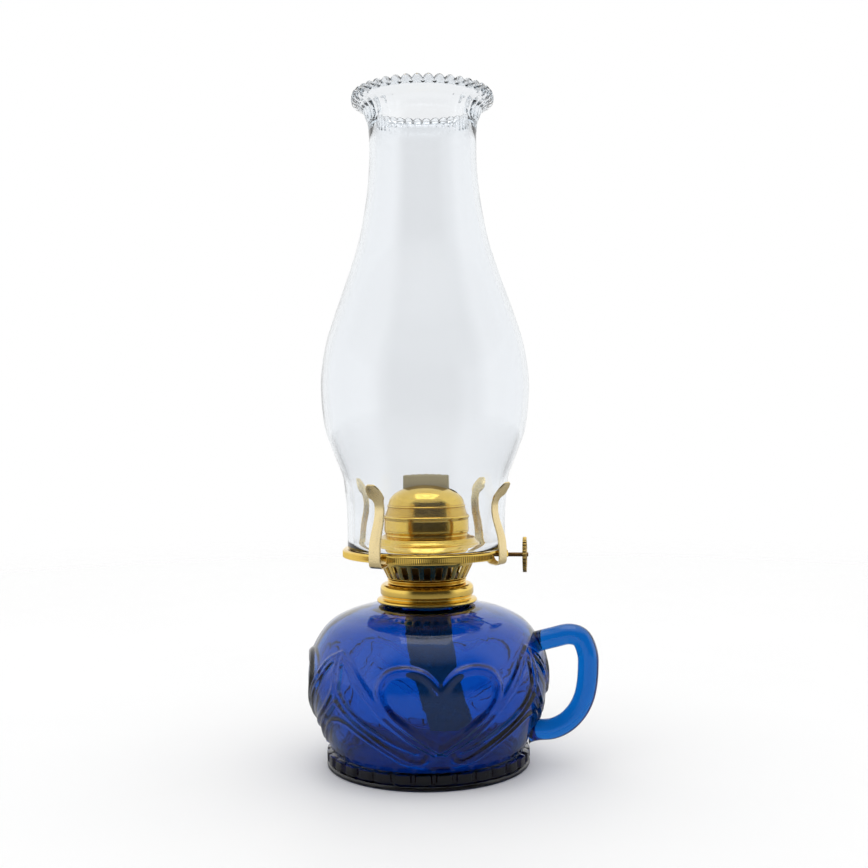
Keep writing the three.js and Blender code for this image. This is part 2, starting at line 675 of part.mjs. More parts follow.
function chimney() {
  const spread = chimneyBulgeRadius - chimneyNeckRadius;
  const footTop = chimneyBottom + chimneyFootHeight;
  const rise = chimneyHeight - chimneyFootHeight;
  const wallOutside = smooth([
    [chimneyBaseRadius, chimneyBottom], [chimneyBaseRadius, chimneyBottom + chimneyFootHeight * 0.43],
    [chimneyBaseRadius + 1.1, chimneyBottom + chimneyFootHeight * 0.8], [chimneyBaseRadius + 2.3, footTop],
    ...chimneyShares.map(([r, h]) => [chimneyNeckRadius + spread * r, footTop + rise * h]),
  ], 15);
  const lipTop = chimneyBottom + chimneyHeight;
  const flare = chimneyLipRadius - chimneyNeckRadius;
  const lip = [
    [chimneyNeckRadius + flare * 0.2, lipTop - 12], [chimneyNeckRadius + flare * 0.34, lipTop - 8],
    [chimneyLipRadius - 1.6, lipTop - 4.6], [chimneyLipRadius, lipTop - 2.4],
    [chimneyLipRadius - 0.6, lipTop - 0.7], [chimneyLipRadius - 2.4, lipTop],
    [chimneyLipRadius - 5.4, lipTop - 1], [chimneyLipRadius - 7.2, lipTop - 5],
  ];
  const inside = offsetLine(wallOutside, chimneyWall).reverse();
  inside[inside.length - 1][1] = chimneyBottom;
  return turnedRing([...wallOutside, ...lip, ...inside], glassSegments);
}

// ---- Assembly ----------------------------------------------------------------------------------

const lamp = new THREE.Group();
lamp.add(
  mesh('font', font(), blueGlass),
  mesh('collar', collar(), brass),
  mesh('collar_cement', collarCement(), plaster),
);

const burner = new THREE.Group();
burner.rotation.z = radians(burnerTurn);
burner.add(
  mesh('screw_ring', screwRing(), brass),
  mesh('base_plate', basePlate(), brass),
  mesh('vent_basket', ventBasket(), brass),
  mesh('gallery', gallery(), brass),
  mesh('dome', dome(), brass),
  mesh('air_diffuser', airDiffuser(), brass),
  mesh('wick_tube', wickTube(), brass),
  mesh('vent_tube', ventTube(), brass),
  mesh('raiser_housing', raiserHousing(), brass),
  mesh('shaft_bushing', shaftBushing(), brass),
  mesh('raiser_shaft', raiserShaft(), darkBrass),
  mesh('spur_wheel_inner', spurWheel(-1), brass),
  mesh('spur_wheel_outer', spurWheel(1), brass),
  mesh('knob_wheel', knobWheel(), darkBrass),
  mesh('wick', wick(), cotton),
  mesh('chimney', chimney(), clearGlass),
);
prongAzimuths.forEach((azimuth, i) => {
  const place = new THREE.Group();
  place.rotation.z = radians(azimuth);
  place.add(
    mesh(`prong_${i + 1}`, prong(), paleBrass),
    mesh(`prong_bracket_${i + 1}`, prongBracket(), brass),
    mesh(`prong_rivet_${i + 1}`, prongRivet(), brass),
  );
  burner.add(place);
});
lamp.add(burner);

export default lamp;
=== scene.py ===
import json
import math

import bmesh
import bpy
import numpy as np
from bpy.props import FloatProperty, FloatVectorProperty, IntProperty, PointerProperty
from mathutils import Matrix, Vector


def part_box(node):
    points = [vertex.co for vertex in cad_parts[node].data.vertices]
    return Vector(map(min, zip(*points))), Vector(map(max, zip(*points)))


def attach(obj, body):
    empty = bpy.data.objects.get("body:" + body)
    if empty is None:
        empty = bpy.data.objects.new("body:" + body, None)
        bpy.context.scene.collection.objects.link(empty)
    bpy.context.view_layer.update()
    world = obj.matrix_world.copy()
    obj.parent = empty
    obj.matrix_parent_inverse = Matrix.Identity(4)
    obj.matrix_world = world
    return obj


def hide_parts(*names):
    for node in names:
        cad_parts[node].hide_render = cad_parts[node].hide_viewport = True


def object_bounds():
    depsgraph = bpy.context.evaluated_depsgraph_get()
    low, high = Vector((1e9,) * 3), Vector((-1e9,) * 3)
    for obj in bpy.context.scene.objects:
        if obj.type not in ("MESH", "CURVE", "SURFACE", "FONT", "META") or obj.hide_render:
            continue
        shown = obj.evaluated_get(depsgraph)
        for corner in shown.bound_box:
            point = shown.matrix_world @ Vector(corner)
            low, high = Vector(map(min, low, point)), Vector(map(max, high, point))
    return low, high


bl_info = {
    "name": "Oil Lamp",
    "version": (1, 0, 0),
    "blender": (4, 5, 0),
    "location": "3D View > Sidebar > Oil Lamp",
    "description": "Kerosene lamp with a blue pressed glass font, a brass burner and a clear chimney",
    "category": "Object",
}

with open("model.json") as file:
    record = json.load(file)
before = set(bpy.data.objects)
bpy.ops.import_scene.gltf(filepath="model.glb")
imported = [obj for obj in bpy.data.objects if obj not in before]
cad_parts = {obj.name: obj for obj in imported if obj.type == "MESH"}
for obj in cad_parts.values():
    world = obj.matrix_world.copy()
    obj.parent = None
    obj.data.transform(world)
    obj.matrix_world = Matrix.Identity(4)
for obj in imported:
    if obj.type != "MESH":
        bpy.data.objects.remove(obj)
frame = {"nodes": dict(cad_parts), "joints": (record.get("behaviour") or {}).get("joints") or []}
CAD_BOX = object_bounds()
JOINTS = {joint["name"]: joint for joint in frame["joints"]}

# Lengths inside the shape functions are millimetres; pieces are scaled to metres when they are placed.
MILLIMETRE = 0.001
TO_METRES = Matrix.Scale(MILLIMETRE, 4)

# The burner's own frame has X along the wick raiser's shaft.
SHAFT_AXIS = Vector(JOINTS["knob_turn"]["axis"])
BURNER_TURN = math.atan2(-SHAFT_AXIS.y, -SHAFT_AXIS.x)
TO_BURNER = Matrix.Rotation(BURNER_TURN, 4, "Z") @ TO_METRES


def node_box(node):
    """Lowest and highest corner of a CAD node in millimetres."""
    low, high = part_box(node)
    return low / MILLIMETRE, high / MILLIMETRE


# ---- Heights and radii taken from the frame -----------------------------------------------------

GLASS_TOP = node_box("chimney")[1].z
GLASS_BOTTOM = node_box("chimney")[0].z
GLASS_HEIGHT = GLASS_TOP - GLASS_BOTTOM
COLLAR_FOOT, COLLAR_TOP = node_box("collar")[0].z - 0.3, node_box("collar")[1].z
RING_TOP = node_box("screw_ring")[1].z
THREAD_BOTTOM = node_box("screw_ring")[0].z
BASKET_BOTTOM, BASKET_TOP = node_box("vent_basket")[0].z, node_box("vent_basket")[1].z
DECK_TOP = node_box("gallery")[1].z - 0.5
DECK_BOTTOM = BASKET_TOP + 0.3
DOME_BOTTOM, DOME_TOP = node_box("dome")[0].z, node_box("dome")[1].z
WICK_BOTTOM, WICK_TOP = node_box("wick")[0].z, node_box("wick")[1].z
NECK_TOP = node_box("font")[1].z
HANDLE_END = node_box("font")[1].x

FONT_RADIUS = 57.1
FOOT_HEIGHT = 7.4
FOOT_BLOCKS = 32
FOOT_RADIUS = 48.5
BLOCK_DEPTH = 1.6
SHAFT_OFFSET = 6.4
SHAFT_HEIGHT = DECK_BOTTOM - 3.2
GALLERY_RADIUS = 40.2
RIM_BOTTOM = DECK_TOP - 3.8
RIM_TEETH = 266
KNOB_DISTANCE = 46.8
KNOB_TEETH = 30
SHEET = 0.7  # thickness of the burner's brass sheet
PRONG_AZIMUTHS = (-116, -28.5, 54.5, 153)
RIVET_DISTANCE = 31.02
PRONG_WIDTH = 6.5
HOOK_BOTTOM = DECK_TOP - 6.2
HOOK_SPLIT = GALLERY_RADIUS - 0.7
BRAID_COLUMNS = 620.0  # half columns of the braid in a metre
BRAID_RISE = 1.3
BRAID_SLANT = 1.6


# ---- Profiles -----------------------------------------------------------------------------------


def smooth_line(points, count):
    """Points spread along a smooth line through a few chosen ones."""
    chosen = np.array(points, float)
    last = len(chosen) - 1
    line = []
    for i in range(count + 1):
        place = last * i / count
        k = min(int(place), last)
        t = place - k
        before, here = chosen[max(k - 1, 0)], chosen[k]
        after, beyond = chosen[min(k + 1, last)], chosen[min(k + 2, last)]
        leave, arrive = (after - before) / 2, (beyond - here) / 2
        line.append(
            tuple(
                (2 * here - 2 * after + leave + arrive) * t**3
                + (3 * after - 3 * here - 2 * leave - arrive) * t**2
                + leave * t
                + here
            )
        )
    return line


def offset_line(points, distance):
    """A line moved sideways by a distance, to its left."""
    moved = []
    for i, (u, v) in enumerate(points):
        u0, v0 = points[max(i - 1, 0)]
        u1, v1 = points[min(i + 1, len(points) - 1)]
        length = math.hypot(u1 - u0, v1 - v0)
        moved.append((u - (v1 - v0) / length * distance, v + (u1 - u0) / length * distance))
    return moved


def rounded(points, radius, closed=True, steps=3):
    """A profile with its corners rounded off."""
    count = len(points)
    corners = [Vector(p) for p in points]
    line = []
    for i, corner in enumerate(corners):
        if not closed and i in (0, count - 1):
            line.append(tuple(corner))
            continue
        back, ahead = corners[i - 1] - corner, corners[(i + 1) % count] - corner
        turn = math.pi - back.angle(ahead)
        if turn < math.radians(12):
            line.append(tuple(corner))
            continue
        cut = min(radius, 0.42 * back.length, 0.42 * ahead.length)
        start, end = corner + back.normalized() * cut, corner + ahead.normalized() * cut
        for k in range(steps + 1):
            t = k / steps
            line.append(tuple(start * (1 - t) ** 2 + corner * 2 * t * (1 - t) + end * t * t))
    return line


# ---- Mesh helpers -------------------------------------------------------------------------------


def lathe(bm, profile, steps, closed=False):
    """A profile of (radius, height) points spun about the Z axis."""
    verts = [bm.verts.new((radius, 0, height)) for radius, height in profile]
    edges = [bm.edges.new(pair) for pair in zip(verts, verts[1:])]
    if closed:
        edges.append(bm.edges.new((verts[-1], verts[0])))
    bmesh.ops.spin(
        bm, geom=verts + edges, cent=(0, 0, 0), axis=(0, 0, 1), angle=2 * math.pi, steps=steps,
        use_merge=True,
    )
    bmesh.ops.remove_doubles(bm, verts=bm.verts[:], dist=1e-4)
    bmesh.ops.recalc_face_normals(bm, faces=bm.faces[:])


def turned(profile, steps, closed=False):
    bm = bmesh.new()
    lathe(bm, profile, steps, closed)
    return bm


def sculpt(bm, move):
    """Moves every vertex: move takes and returns an array of points."""
    points = np.array([v.co for v in bm.verts], float)
    for vert, point in zip(bm.verts, move(points)):
        vert.co = point


def polar(points):
    """Distances from the Z axis and angles about it."""
    return np.hypot(points[:, 0], points[:, 1]), np.arctan2(points[:, 1], points[:, 0])


def pushed_out(points, radius, out, up=0.0):
    """Points moved away from the Z axis and upwards."""
    scale = (radius + out) / np.maximum(radius, 1e-9)
    return np.stack([points[:, 0] * scale, points[:, 1] * scale, points[:, 2] + up], 1)


def new_object(name, bm):
    mesh = bpy.data.meshes.new(name)
    bm.to_mesh(mesh)
    bm.free()
    piece = bpy.data.objects.new(name, mesh)
    bpy.context.scene.collection.objects.link(piece)
    return piece


def apply_modifiers(piece):
    bpy.context.view_layer.update()
    evaluated = piece.evaluated_get(bpy.context.evaluated_depsgraph_get())
    mesh = bpy.data.meshes.new_from_object(evaluated)
    piece.modifiers.clear()
    old = piece.data
    piece.data = mesh
    bpy.data.meshes.remove(old)
    mesh.name = piece.name


def combine(piece, tool, operation):
    """Joins or cuts a piece with another closed mesh, which is used up."""
    modifier = piece.modifiers.new("combine", "BOOLEAN")
    modifier.object = tool
    modifier.operation = operation
    modifier.solver = "EXACT"
    apply_modifiers(piece)
    bpy.data.objects.remove(tool)


def finish_piece(piece, matrix, material, body, nodes, crease=35):
    """Places a piece in the frame, gives it its finish and lets it stand for its CAD nodes."""
    mesh = piece.data
    mesh.transform(matrix)
    mesh.polygons.foreach_set("use_smooth", [True] * len(mesh.polygons))
    mesh.set_sharp_from_angle(angle=math.radians(crease))
    mesh.materials.clear()
    mesh.materials.append(material)
    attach(piece, body)
    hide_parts(*nodes)
    return piece


# ---- Node groups --------------------------------------------------------------------------------


def node(tree, kind, inputs=None, **settings):
    made = tree.nodes.new(kind)
    for key, value in settings.items():
        setattr(made, key, value)
    for key, value in (inputs or {}).items():
        if isinstance(value, bpy.types.NodeSocket):
            tree.links.new(value, made.inputs[key])
        else:
            made.inputs[key].default_value = value
    return made


def group_tree(name, inputs, outputs):
    """An empty node group with its sockets."""
    tree = bpy.data.node_groups.new(name, "ShaderNodeTree")
    for socket, kind, default in inputs:
        made = tree.interface.new_socket(socket, in_out="INPUT", socket_type=kind)
        made.default_value = default
    for socket, kind in outputs:
        tree.interface.new_socket(socket, in_out="OUTPUT", socket_type=kind)
    return tree, tree.nodes.new("NodeGroupInput").outputs, tree.nodes.new("NodeGroupOutput")


def math_node(tree, operation, a, b=0.0, c=0.0):
    return node(tree, "ShaderNodeMath", {0: a, 1: b, 2: c}, operation=operation).outputs[0]


def spread(tree, value, low, high, out_low, out_high):
    inputs = {"Value": value, "From Min": low, "From Max": high, "To Min": out_low, "To Max": out_high}
    return node(tree, "ShaderNodeMapRange", inputs).outputs[0]


def noise(tree, vector, scale, detail=4.0, rough=0.55, bend=0.0):
    inputs = {"Vector": vector, "Scale": scale, "Detail": detail, "Roughness": rough, "Distortion": bend}
    return node(tree, "ShaderNodeTexNoise", inputs).outputs["Fac"]


def blend_colors(tree, factor, a, b, blend_type="MIX"):
    made = node(tree, "ShaderNodeMix", {"Factor": factor}, data_type="RGBA", blend_type=blend_type)
    for key, value in ((6, a), (7, b)):
        if isinstance(value, bpy.types.NodeSocket):
            tree.links.new(value, made.inputs[key])
        else:
            made.inputs[key].default_value = value
    return made.outputs[2]


def metal_wear_and_shade_group():
    """Handled sheet metal: tarnish clouds, spun grain, small scratches and painted shade in the creases."""
    name = "Handled metal"
    if name in bpy.data.node_groups:
        return bpy.data.node_groups[name]
    tree, given, result = group_tree(
        name,
        [
            ("Clean", "NodeSocketColor", (0.8, 0.5, 0.15, 1)),
            ("Tarnish", "NodeSocketColor", (0.4, 0.22, 0.06, 1)),
            ("Tarnish Amount", "NodeSocketFloat", 0.35),
            ("Roughness", "NodeSocketFloat", 0.2),
        ],
        [("Color", "NodeSocketColor"), ("Roughness", "NodeSocketFloat"), ("Height", "NodeSocketFloat")],
    )
    place = node(tree, "ShaderNodeTexCoord").outputs["Object"]
    clouds = noise(tree, place, 55.0, 5.0)
    specks = noise(tree, place, 1400.0, 3.0, 0.7)
    stretched = node(tree, "ShaderNodeMapping", {"Vector": place, "Scale": (1, 1, 26)}).outputs[0]
    grain = noise(tree, stretched, 240.0, 3.0, 0.6)
    scratches = node(
        tree, "ShaderNodeTexVoronoi", {"Vector": stretched, "Scale": 70.0}, feature="DISTANCE_TO_EDGE"
    ).outputs["Distance"]
    scratch = spread(tree, scratches, 0.0, 0.02, 1.0, 0.0)
    pointed = node(tree, "ShaderNodeNewGeometry").outputs["Pointiness"]
    # Painted shade: concave creases, found from the pointiness, are pulled towards the tarnish colour.
    crease = spread(tree, pointed, 0.49, 0.43, 0.0, 1.0)
    ridge = spread(tree, pointed, 0.52, 0.6, 0.0, 1.0)
    cloudy = spread(tree, clouds, 0.42, 0.68, 0.0, 1.0)
    tarnish_and_crease_shade = math_node(tree, "MULTIPLY", cloudy, given["Tarnish Amount"])
    tarnish_and_crease_shade = math_node(tree, "ADD", tarnish_and_crease_shade, math_node(tree, "MULTIPLY", crease, 0.75))
    tarnish_and_crease_shade = math_node(tree, "SUBTRACT", tarnish_and_crease_shade, math_node(tree, "MULTIPLY", ridge, 0.5))
    tarnish_and_crease_shade = math_node(tree, "ADD", tarnish_and_crease_shade, spread(tree, specks, 0.62, 0.8, 0.0, 0.25))
    tarnish_and_crease_shade = node(tree, "ShaderNodeClamp", {"Value": tarnish_and_crease_shade}).outputs[0]
    tree.links.new(blend_colors(tree, tarnish_and_crease_shade, given["Clean"], given["Tarnish"]), result.inputs["Color"])
    rough = math_node(tree, "ADD", given["Roughness"], math_node(tree, "MULTIPLY", tarnish_and_crease_shade, 0.16))
    rough = math_node(tree, "ADD", rough, spread(tree, specks, 0.4, 0.7, -0.02, 0.05))
    rough = math_node(tree, "ADD", rough, math_node(tree, "MULTIPLY", scratch, 0.08))
    tree.links.new(rough, result.inputs["Roughness"])
    height = math_node(tree, "SUBTRACT", grain, math_node(tree, "MULTIPLY", scratch, 0.5))
    tree.links.new(height, result.inputs["Height"])
    return tree


def pressed_glass_group():
    """Pressed or blown glass: slow ripples, faint mould chill marks and thin finger smears."""
    name = "Glass surface"
    if name in bpy.data.node_groups:
        return bpy.data.node_groups[name]
    tree, given, result = group_tree(
        name,
        [("Ripple Scale", "NodeSocketFloat", 45.0), ("Smear", "NodeSocketFloat", 0.05)],
        [("Roughness", "NodeSocketFloat"), ("Height", "NodeSocketFloat")],
    )
    place = node(tree, "ShaderNodeTexCoord").outputs["Object"]
    ripple = noise(tree, place, given["Ripple Scale"], 2.0, 0.4, 0.6)
    chill = noise(tree, place, 420.0, 3.0, 0.6)
    height = math_node(tree, "ADD", ripple, math_node(tree, "MULTIPLY", chill, 0.03))
    tree.links.new(height, result.inputs["Height"])
    smear = spread(tree, noise(tree, place, 30.0, 5.0, 0.6, 1.2), 0.5, 0.72, 0.0, 1.0)
    tree.links.new(math_node(tree, "MULTIPLY", smear, given["Smear"]), result.inputs["Roughness"])
    return tree


def cotton_weave_group():
    """Braided cotton: slanting yarns that cross in narrow columns, with loose fibres."""
    name = "Cotton braid"
    if name in bpy.data.node_groups:
        return bpy.data.node_groups[name]
    tree, given, result = group_tree(
        name,
        [
            ("Yarn", "NodeSocketColor", (0.62, 0.5, 0.32, 1)),
            ("Shade", "NodeSocketColor", (0.3, 0.22, 0.12, 1)),
        ],
        [("Color", "NodeSocketColor"), ("Roughness", "NodeSocketFloat"), ("Height", "NodeSocketFloat")],
    )
    place = node(tree, "ShaderNodeTexCoord").outputs["Object"]
    flat = node(tree, "ShaderNodeMapping", {"Vector": place, "Rotation": (0, 0, -BURNER_TURN)}).outputs[0]
    across, _, up = node(tree, "ShaderNodeSeparateXYZ", {0: flat}).outputs
    zigzag = math_node(tree, "PINGPONG", math_node(tree, "MULTIPLY", across, BRAID_COLUMNS), 1.0)
    lay = math_node(tree, "MULTIPLY", math_node(tree, "MULTIPLY", up, BRAID_COLUMNS), BRAID_RISE)
    lay = math_node(tree, "ADD", lay, math_node(tree, "MULTIPLY", zigzag, BRAID_SLANT))
    yarn = math_node(tree, "SINE", math_node(tree, "MULTIPLY", lay, 2 * math.pi))
    drawn = node(tree, "ShaderNodeMapping", {"Vector": flat, "Scale": (1, 1, 0.3)}).outputs[0]
    fibres = noise(tree, drawn, 5200.0)
    height = spread(tree, yarn, -1.0, 1.0, 0.0, 1.0)
    height = math_node(tree, "ADD", height, math_node(tree, "MULTIPLY", fibres, 0.8))
    tree.links.new(height, result.inputs["Height"])
    tint = spread(tree, height, 0.2, 1.3, 0.0, 1.0)
    tree.links.new(blend_colors(tree, tint, given["Shade"], given["Yarn"]), result.inputs["Color"])
    tree.links.new(spread(tree, fibres, 0.3, 0.7, 0.85, 1.0), result.inputs["Roughness"])
    return tree


# ---- Materials ----------------------------------------------------------------------------------


def new_material(name):
    material = bpy.data.materials.new(name)
    material.use_nodes = True
    tree = material.node_tree
    return material, tree, tree.nodes["Principled BSDF"], tree.nodes["Material Output"]


def rgba(color):
    return (*color[:3], 1.0)


def add_bump(tree, shader, height, strength, distance):
    made = node(tree, "ShaderNodeBump", {"Height": height, "Strength": strength, "Distance": distance})
    tree.links.new(made.outputs[0], shader.inputs["Normal"])


def worn_and_shaded_metal(name, clean, tarnish, amount, roughness, bump):
    """A metal finish from the shared group of wear and painted crease shade."""
    if name in bpy.data.materials:
        return bpy.data.materials[name]
    material, tree, shader, _ = new_material(name)
    look = {"Clean": rgba(clean), "Tarnish": rgba(tarnish), "Tarnish Amount": amount, "Roughness": roughness}
    wear = node(tree, "ShaderNodeGroup", node_tree=metal_wear_and_shade_group())
    for key, value in look.items():
        wear.inputs[key].default_value = value
    shader.inputs["Metallic"].default_value = 1.0
    tree.links.new(wear.outputs["Color"], shader.inputs["Base Color"])
    tree.links.new(wear.outputs["Roughness"], shader.inputs["Roughness"])
    add_bump(tree, shader, wear.outputs["Height"], bump, 0.0001)
    return material


def polished_brass(settings):
    clean, roughness = settings.brass_color, settings.brass_roughness
    return worn_and_shaded_metal("Lacquered brass", clean, (0.5, 0.28, 0.06), 0.22, roughness, 0.05)


def spring_brass(settings):
    return worn_and_shaded_metal("Satin spring brass", settings.prong_color, (0.55, 0.4, 0.17), 0.25, 0.24, 0.12)


def dark_brass(settings):
    return worn_and_shaded_metal("Darkened brass", settings.dark_brass_color, (0.07, 0.04, 0.015), 0.6, 0.3, 0.25)


def dull_brass():
    return worn_and_shaded_metal("Dull inner brass", (0.3, 0.17, 0.05), (0.09, 0.05, 0.02), 0.7, 0.42, 0.2)


def milled_brass():
    return worn_and_shaded_metal("Milled brass", (0.62, 0.42, 0.12), (0.12, 0.065, 0.02), 0.6, 0.24, 0.2)


def lamp_glass(name, color, depth_color, density, ior, specular, ripple, smear, bump):
    """Glass with the shared surface, a tint at each surface and a colour that grows with depth."""
    if name in bpy.data.materials:
        return bpy.data.materials[name]
    material, tree, shader, output = new_material(name)
    surface = node(tree, "ShaderNodeGroup", node_tree=pressed_glass_group())
    surface.inputs["Ripple Scale"].default_value = ripple
    surface.inputs["Smear"].default_value = smear
    shader.inputs["Base Color"].default_value = rgba(color)
    shader.inputs["Specular IOR Level"].default_value = specular
    shader.inputs["Transmission Weight"].default_value = 1.0
    shader.inputs["IOR"].default_value = ior
    tree.links.new(surface.outputs["Roughness"], shader.inputs["Roughness"])
    add_bump(tree, shader, surface.outputs["Height"], *bump)
    depth = node(tree, "ShaderNodeVolumeAbsorption", {"Color": rgba(depth_color), "Density": density})
    tree.links.new(depth.outputs[0], output.inputs["Volume"])
    return material


def blue_glass(settings):
    color, depth, density = settings.font_color, settings.font_depth_color, settings.font_density
    return lamp_glass("Pressed blue glass", color, depth, density, 1.51, 0.4, 48.0, 0.04, (0.35, 0.0012))


def clear_glass(settings):
    color, depth, density = settings.chimney_color, (0.72, 0.8, 0.86), settings.chimney_density
    return lamp_glass("Clear blown glass", color, depth, density, 1.5, 0.5, 22.0, 0.03, (0.25, 0.0008))


def wick_cotton(settings):
    name = "Braided cotton"
    if name in bpy.data.materials:
        return bpy.data.materials[name]
    material, tree, shader, _ = new_material(name)
    weave = node(tree, "ShaderNodeGroup", node_tree=cotton_weave_group())
    weave.inputs["Yarn"].default_value = rgba(settings.wick_color)
    weave.inputs["Shade"].default_value = (0.27, 0.21, 0.11, 1)
    tree.links.new(weave.outputs["Color"], shader.inputs["Base Color"])
    tree.links.new(weave.outputs["Roughness"], shader.inputs["Roughness"])
    shader.inputs["Sheen Weight"].default_value = 0.3
    add_bump(tree, shader, weave.outputs["Height"], 0.6, 0.0003)
    return material


def collar_plaster():
    name = "Collar plaster"
    if name in bpy.data.materials:
        return bpy.data.materials[name]
    material, tree, shader, _ = new_material(name)
    place = node(tree, "ShaderNodeTexCoord").outputs["Object"]
    lumps = noise(tree, place, 380.0, 6.0, 0.7)
    pale = spread(tree, lumps, 0.3, 0.7, 0.0, 1.0)
    tint = blend_colors(tree, pale, (0.62, 0.57, 0.48, 1), (0.82, 0.79, 0.72, 1))
    tree.links.new(tint, shader.inputs["Base Color"])
    tree.links.new(spread(tree, lumps, 0.3, 0.7, 0.8, 0.95), shader.inputs["Roughness"])
    add_bump(tree, shader, lumps, 0.5, 0.0004)
    return material


# ---- Font ---------------------------------------------------------------------------------------

BODY_SHARES = (
    (0.805, 0), (0.88, 0.145), (0.962, 0.298), (1, 0.472), (0.98, 0.645), (0.92, 0.764), (0.815, 0.87),
    (0.654, 0.939), (0.47, 0.977),
)
HEART_MIDDLES = (-76, 76, 180)
LEAF_PEAK = 52  # degrees from the middle of a heart to the peak of the leaf beside it
# Raised lines as (degrees from the heart's middle, height), with their height and half width.
HEART_LINE = (
    ((0, 45.4), (4.6, 50.8), (9.6, 53.7), (16.8, 54.6), (23.2, 53), (26.6, 49.2), (27.4, 45), (26, 40),
     (21.8, 34.5), (16, 29.8), (8.6, 24.2), (3.5, 20.6), (0, 18.6)),
    1.3, 2.5,
)
LEAF_LINES = (
    (((52, 59.5), (43.8, 55.4), (36.1, 47.6), (29.5, 40.6), (26, 36)), 1.1, 1.5),
    (((50.5, 58.3), (42.6, 51), (37.8, 45.4), (32.2, 40.4), (26.4, 34), (19.6, 28.2), (11.6, 22.4),
      (2.7, 17.2)), 1.0, 1.4),
    (((50.5, 57), (49.8, 50), (50.3, 44), (48.9, 41.5), (44.5, 36.2), (37, 30.3), (30.4, 26.6), (22.4, 22.3),
      (11.4, 18)), 1.0, 1.4),
    (((52, 38.4), (48.3, 35), (42.1, 30), (35.9, 26), (28.8, 20.9), (20.7, 16.2), (15.4, 13.7), (10, 12.6),
      (7, 14.2), (6.6, 15.8)), 1.2, 1.5),
    (((52, 29.7), (45.9, 28.2), (37.6, 23.2), (29.3, 18.2), (19.1, 12.8), (8.8, 11)), 0.9, 1.3),
    (((52, 58), (52, 50), (52, 42), (52, 38.4)), 0.8, 1.1),
)


def body_outline(count):
    rise = COLLAR_FOOT - FOOT_HEIGHT
    return smooth_line([(FONT_RADIUS * r, FOOT_HEIGHT + rise * h) for r, h in BODY_SHARES], count)


def font_profile():
    """The glass from the middle of its underside, up the outside and down into the reservoir."""
    outside = body_outline(132)
    foot = smooth_line([(48, 0), (48.4, 0.35), (48.5, 1.1), (48.2, 2), (47.2, 2.5)], 8)
    waist = [(46.9, 2.5 + 0.45 * i) for i in range(1, 11)]
    shoulder = [(24.4, 75.4), (22.6, 75.7), (21.5, 75.9), (20.9, 76.2), (20.9, COLLAR_FOOT)]
    neck = [
        (20, COLLAR_FOOT), (20, 79), (20, NECK_TOP - 0.5), (19.5, NECK_TOP), (18.3, NECK_TOP), (17.8, 81.6),
    ]
    inside = [p for p in offset_line(body_outline(44), 4) if p[0] > 18.9 and p[1] > 8]
    edge = inside[0][0]
    bore = [(17.8, 79), (17.8, 75), (17.85, 72.6), (18.1, 71.6)]
    floor = [(edge - 0.8, 7), (edge - 2, 6), (edge - 4, 5.5), (30, 5.5), (14, 5.5), (0, 5.5)]
    underside = [(0, 0), (16, 0), (32, 0), (44, 0)]
    return underside + foot + waist + outside + shoulder + neck + bore + inside[::-1] + floor


def line_distances(points, line, radius_at):
    """Distance from each point to a line drawn on the glass."""
    degrees, heights = np.array(smooth_line(line, 12 * len(line))).T
    angle, radii = np.radians(degrees), radius_at(heights)
    marks = np.stack([radii * np.cos(angle), radii * np.sin(angle), heights], 1)
    return np.concatenate(
        [np.sqrt(((part[:, None] - marks) ** 2).sum(2)).min(1) for part in np.array_split(points, 40)]
    )


def raise_pattern(points, settings):
    """Raises the hearts, leaves and foot blocks out of the plain glass."""
    outline = np.array(body_outline(400))
    order = np.argsort(outline[:, 1])
    heights, radii = outline[order, 1], outline[order, 0]

    def radius_at(z):
        return np.interp(z, heights, radii)

    slope = np.gradient(radii, heights)
    radius, angle = polar(points)
    azimuth = np.degrees(angle)
    z = points[:, 2]
    away = np.abs((azimuth[:, None] - np.array(HEART_MIDDLES) + 180) % 360 - 180).min(1)
    away = np.where(away > LEAF_PEAK, 2 * LEAF_PEAK - away, away)
    glass = (z > FOOT_HEIGHT + 1) & (z < 70) & (radius > radius_at(z) - 1)
    side, plain = np.radians(away), radius_at(z)
    spot = np.stack([plain * np.cos(side), plain * np.sin(side), z], 1)[glass]
    raised = np.zeros(len(spot))
    for line, height, half_width in (HEART_LINE, *LEAF_LINES):
        near = np.clip(line_distances(spot, line, radius_at) / half_width, 0, 1)
        raised = np.maximum(raised, height * settings.relief * (1 - near**2) ** 1.4)
    fade = np.clip((z[glass] - FOOT_HEIGHT - 1) / 2, 0, 1)
    lift = np.zeros(len(points))
    lift[glass] = raised * fade
    tilt = np.interp(z, heights, slope)
    norm = np.sqrt(1 + tilt**2)
    pitch = 2 * math.pi * FOOT_RADIUS / FOOT_BLOCKS
    around = np.abs((azimuth / 360 * FOOT_BLOCKS) % 1 - 0.5) * pitch
    block = np.clip((3.75 - around) / 0.7, 0, 1) * np.clip((2.65 - np.abs(z - 5)) / 0.7, 0, 1)
    foot = (z > 2.4) & (z < FOOT_HEIGHT + 0.4) & (radius > 44)
    block = block * block * (3 - 2 * block)
    out = lift / norm + np.where(foot, BLOCK_DEPTH * block, 0)
    return pushed_out(points, radius, out, -lift * tilt / norm)


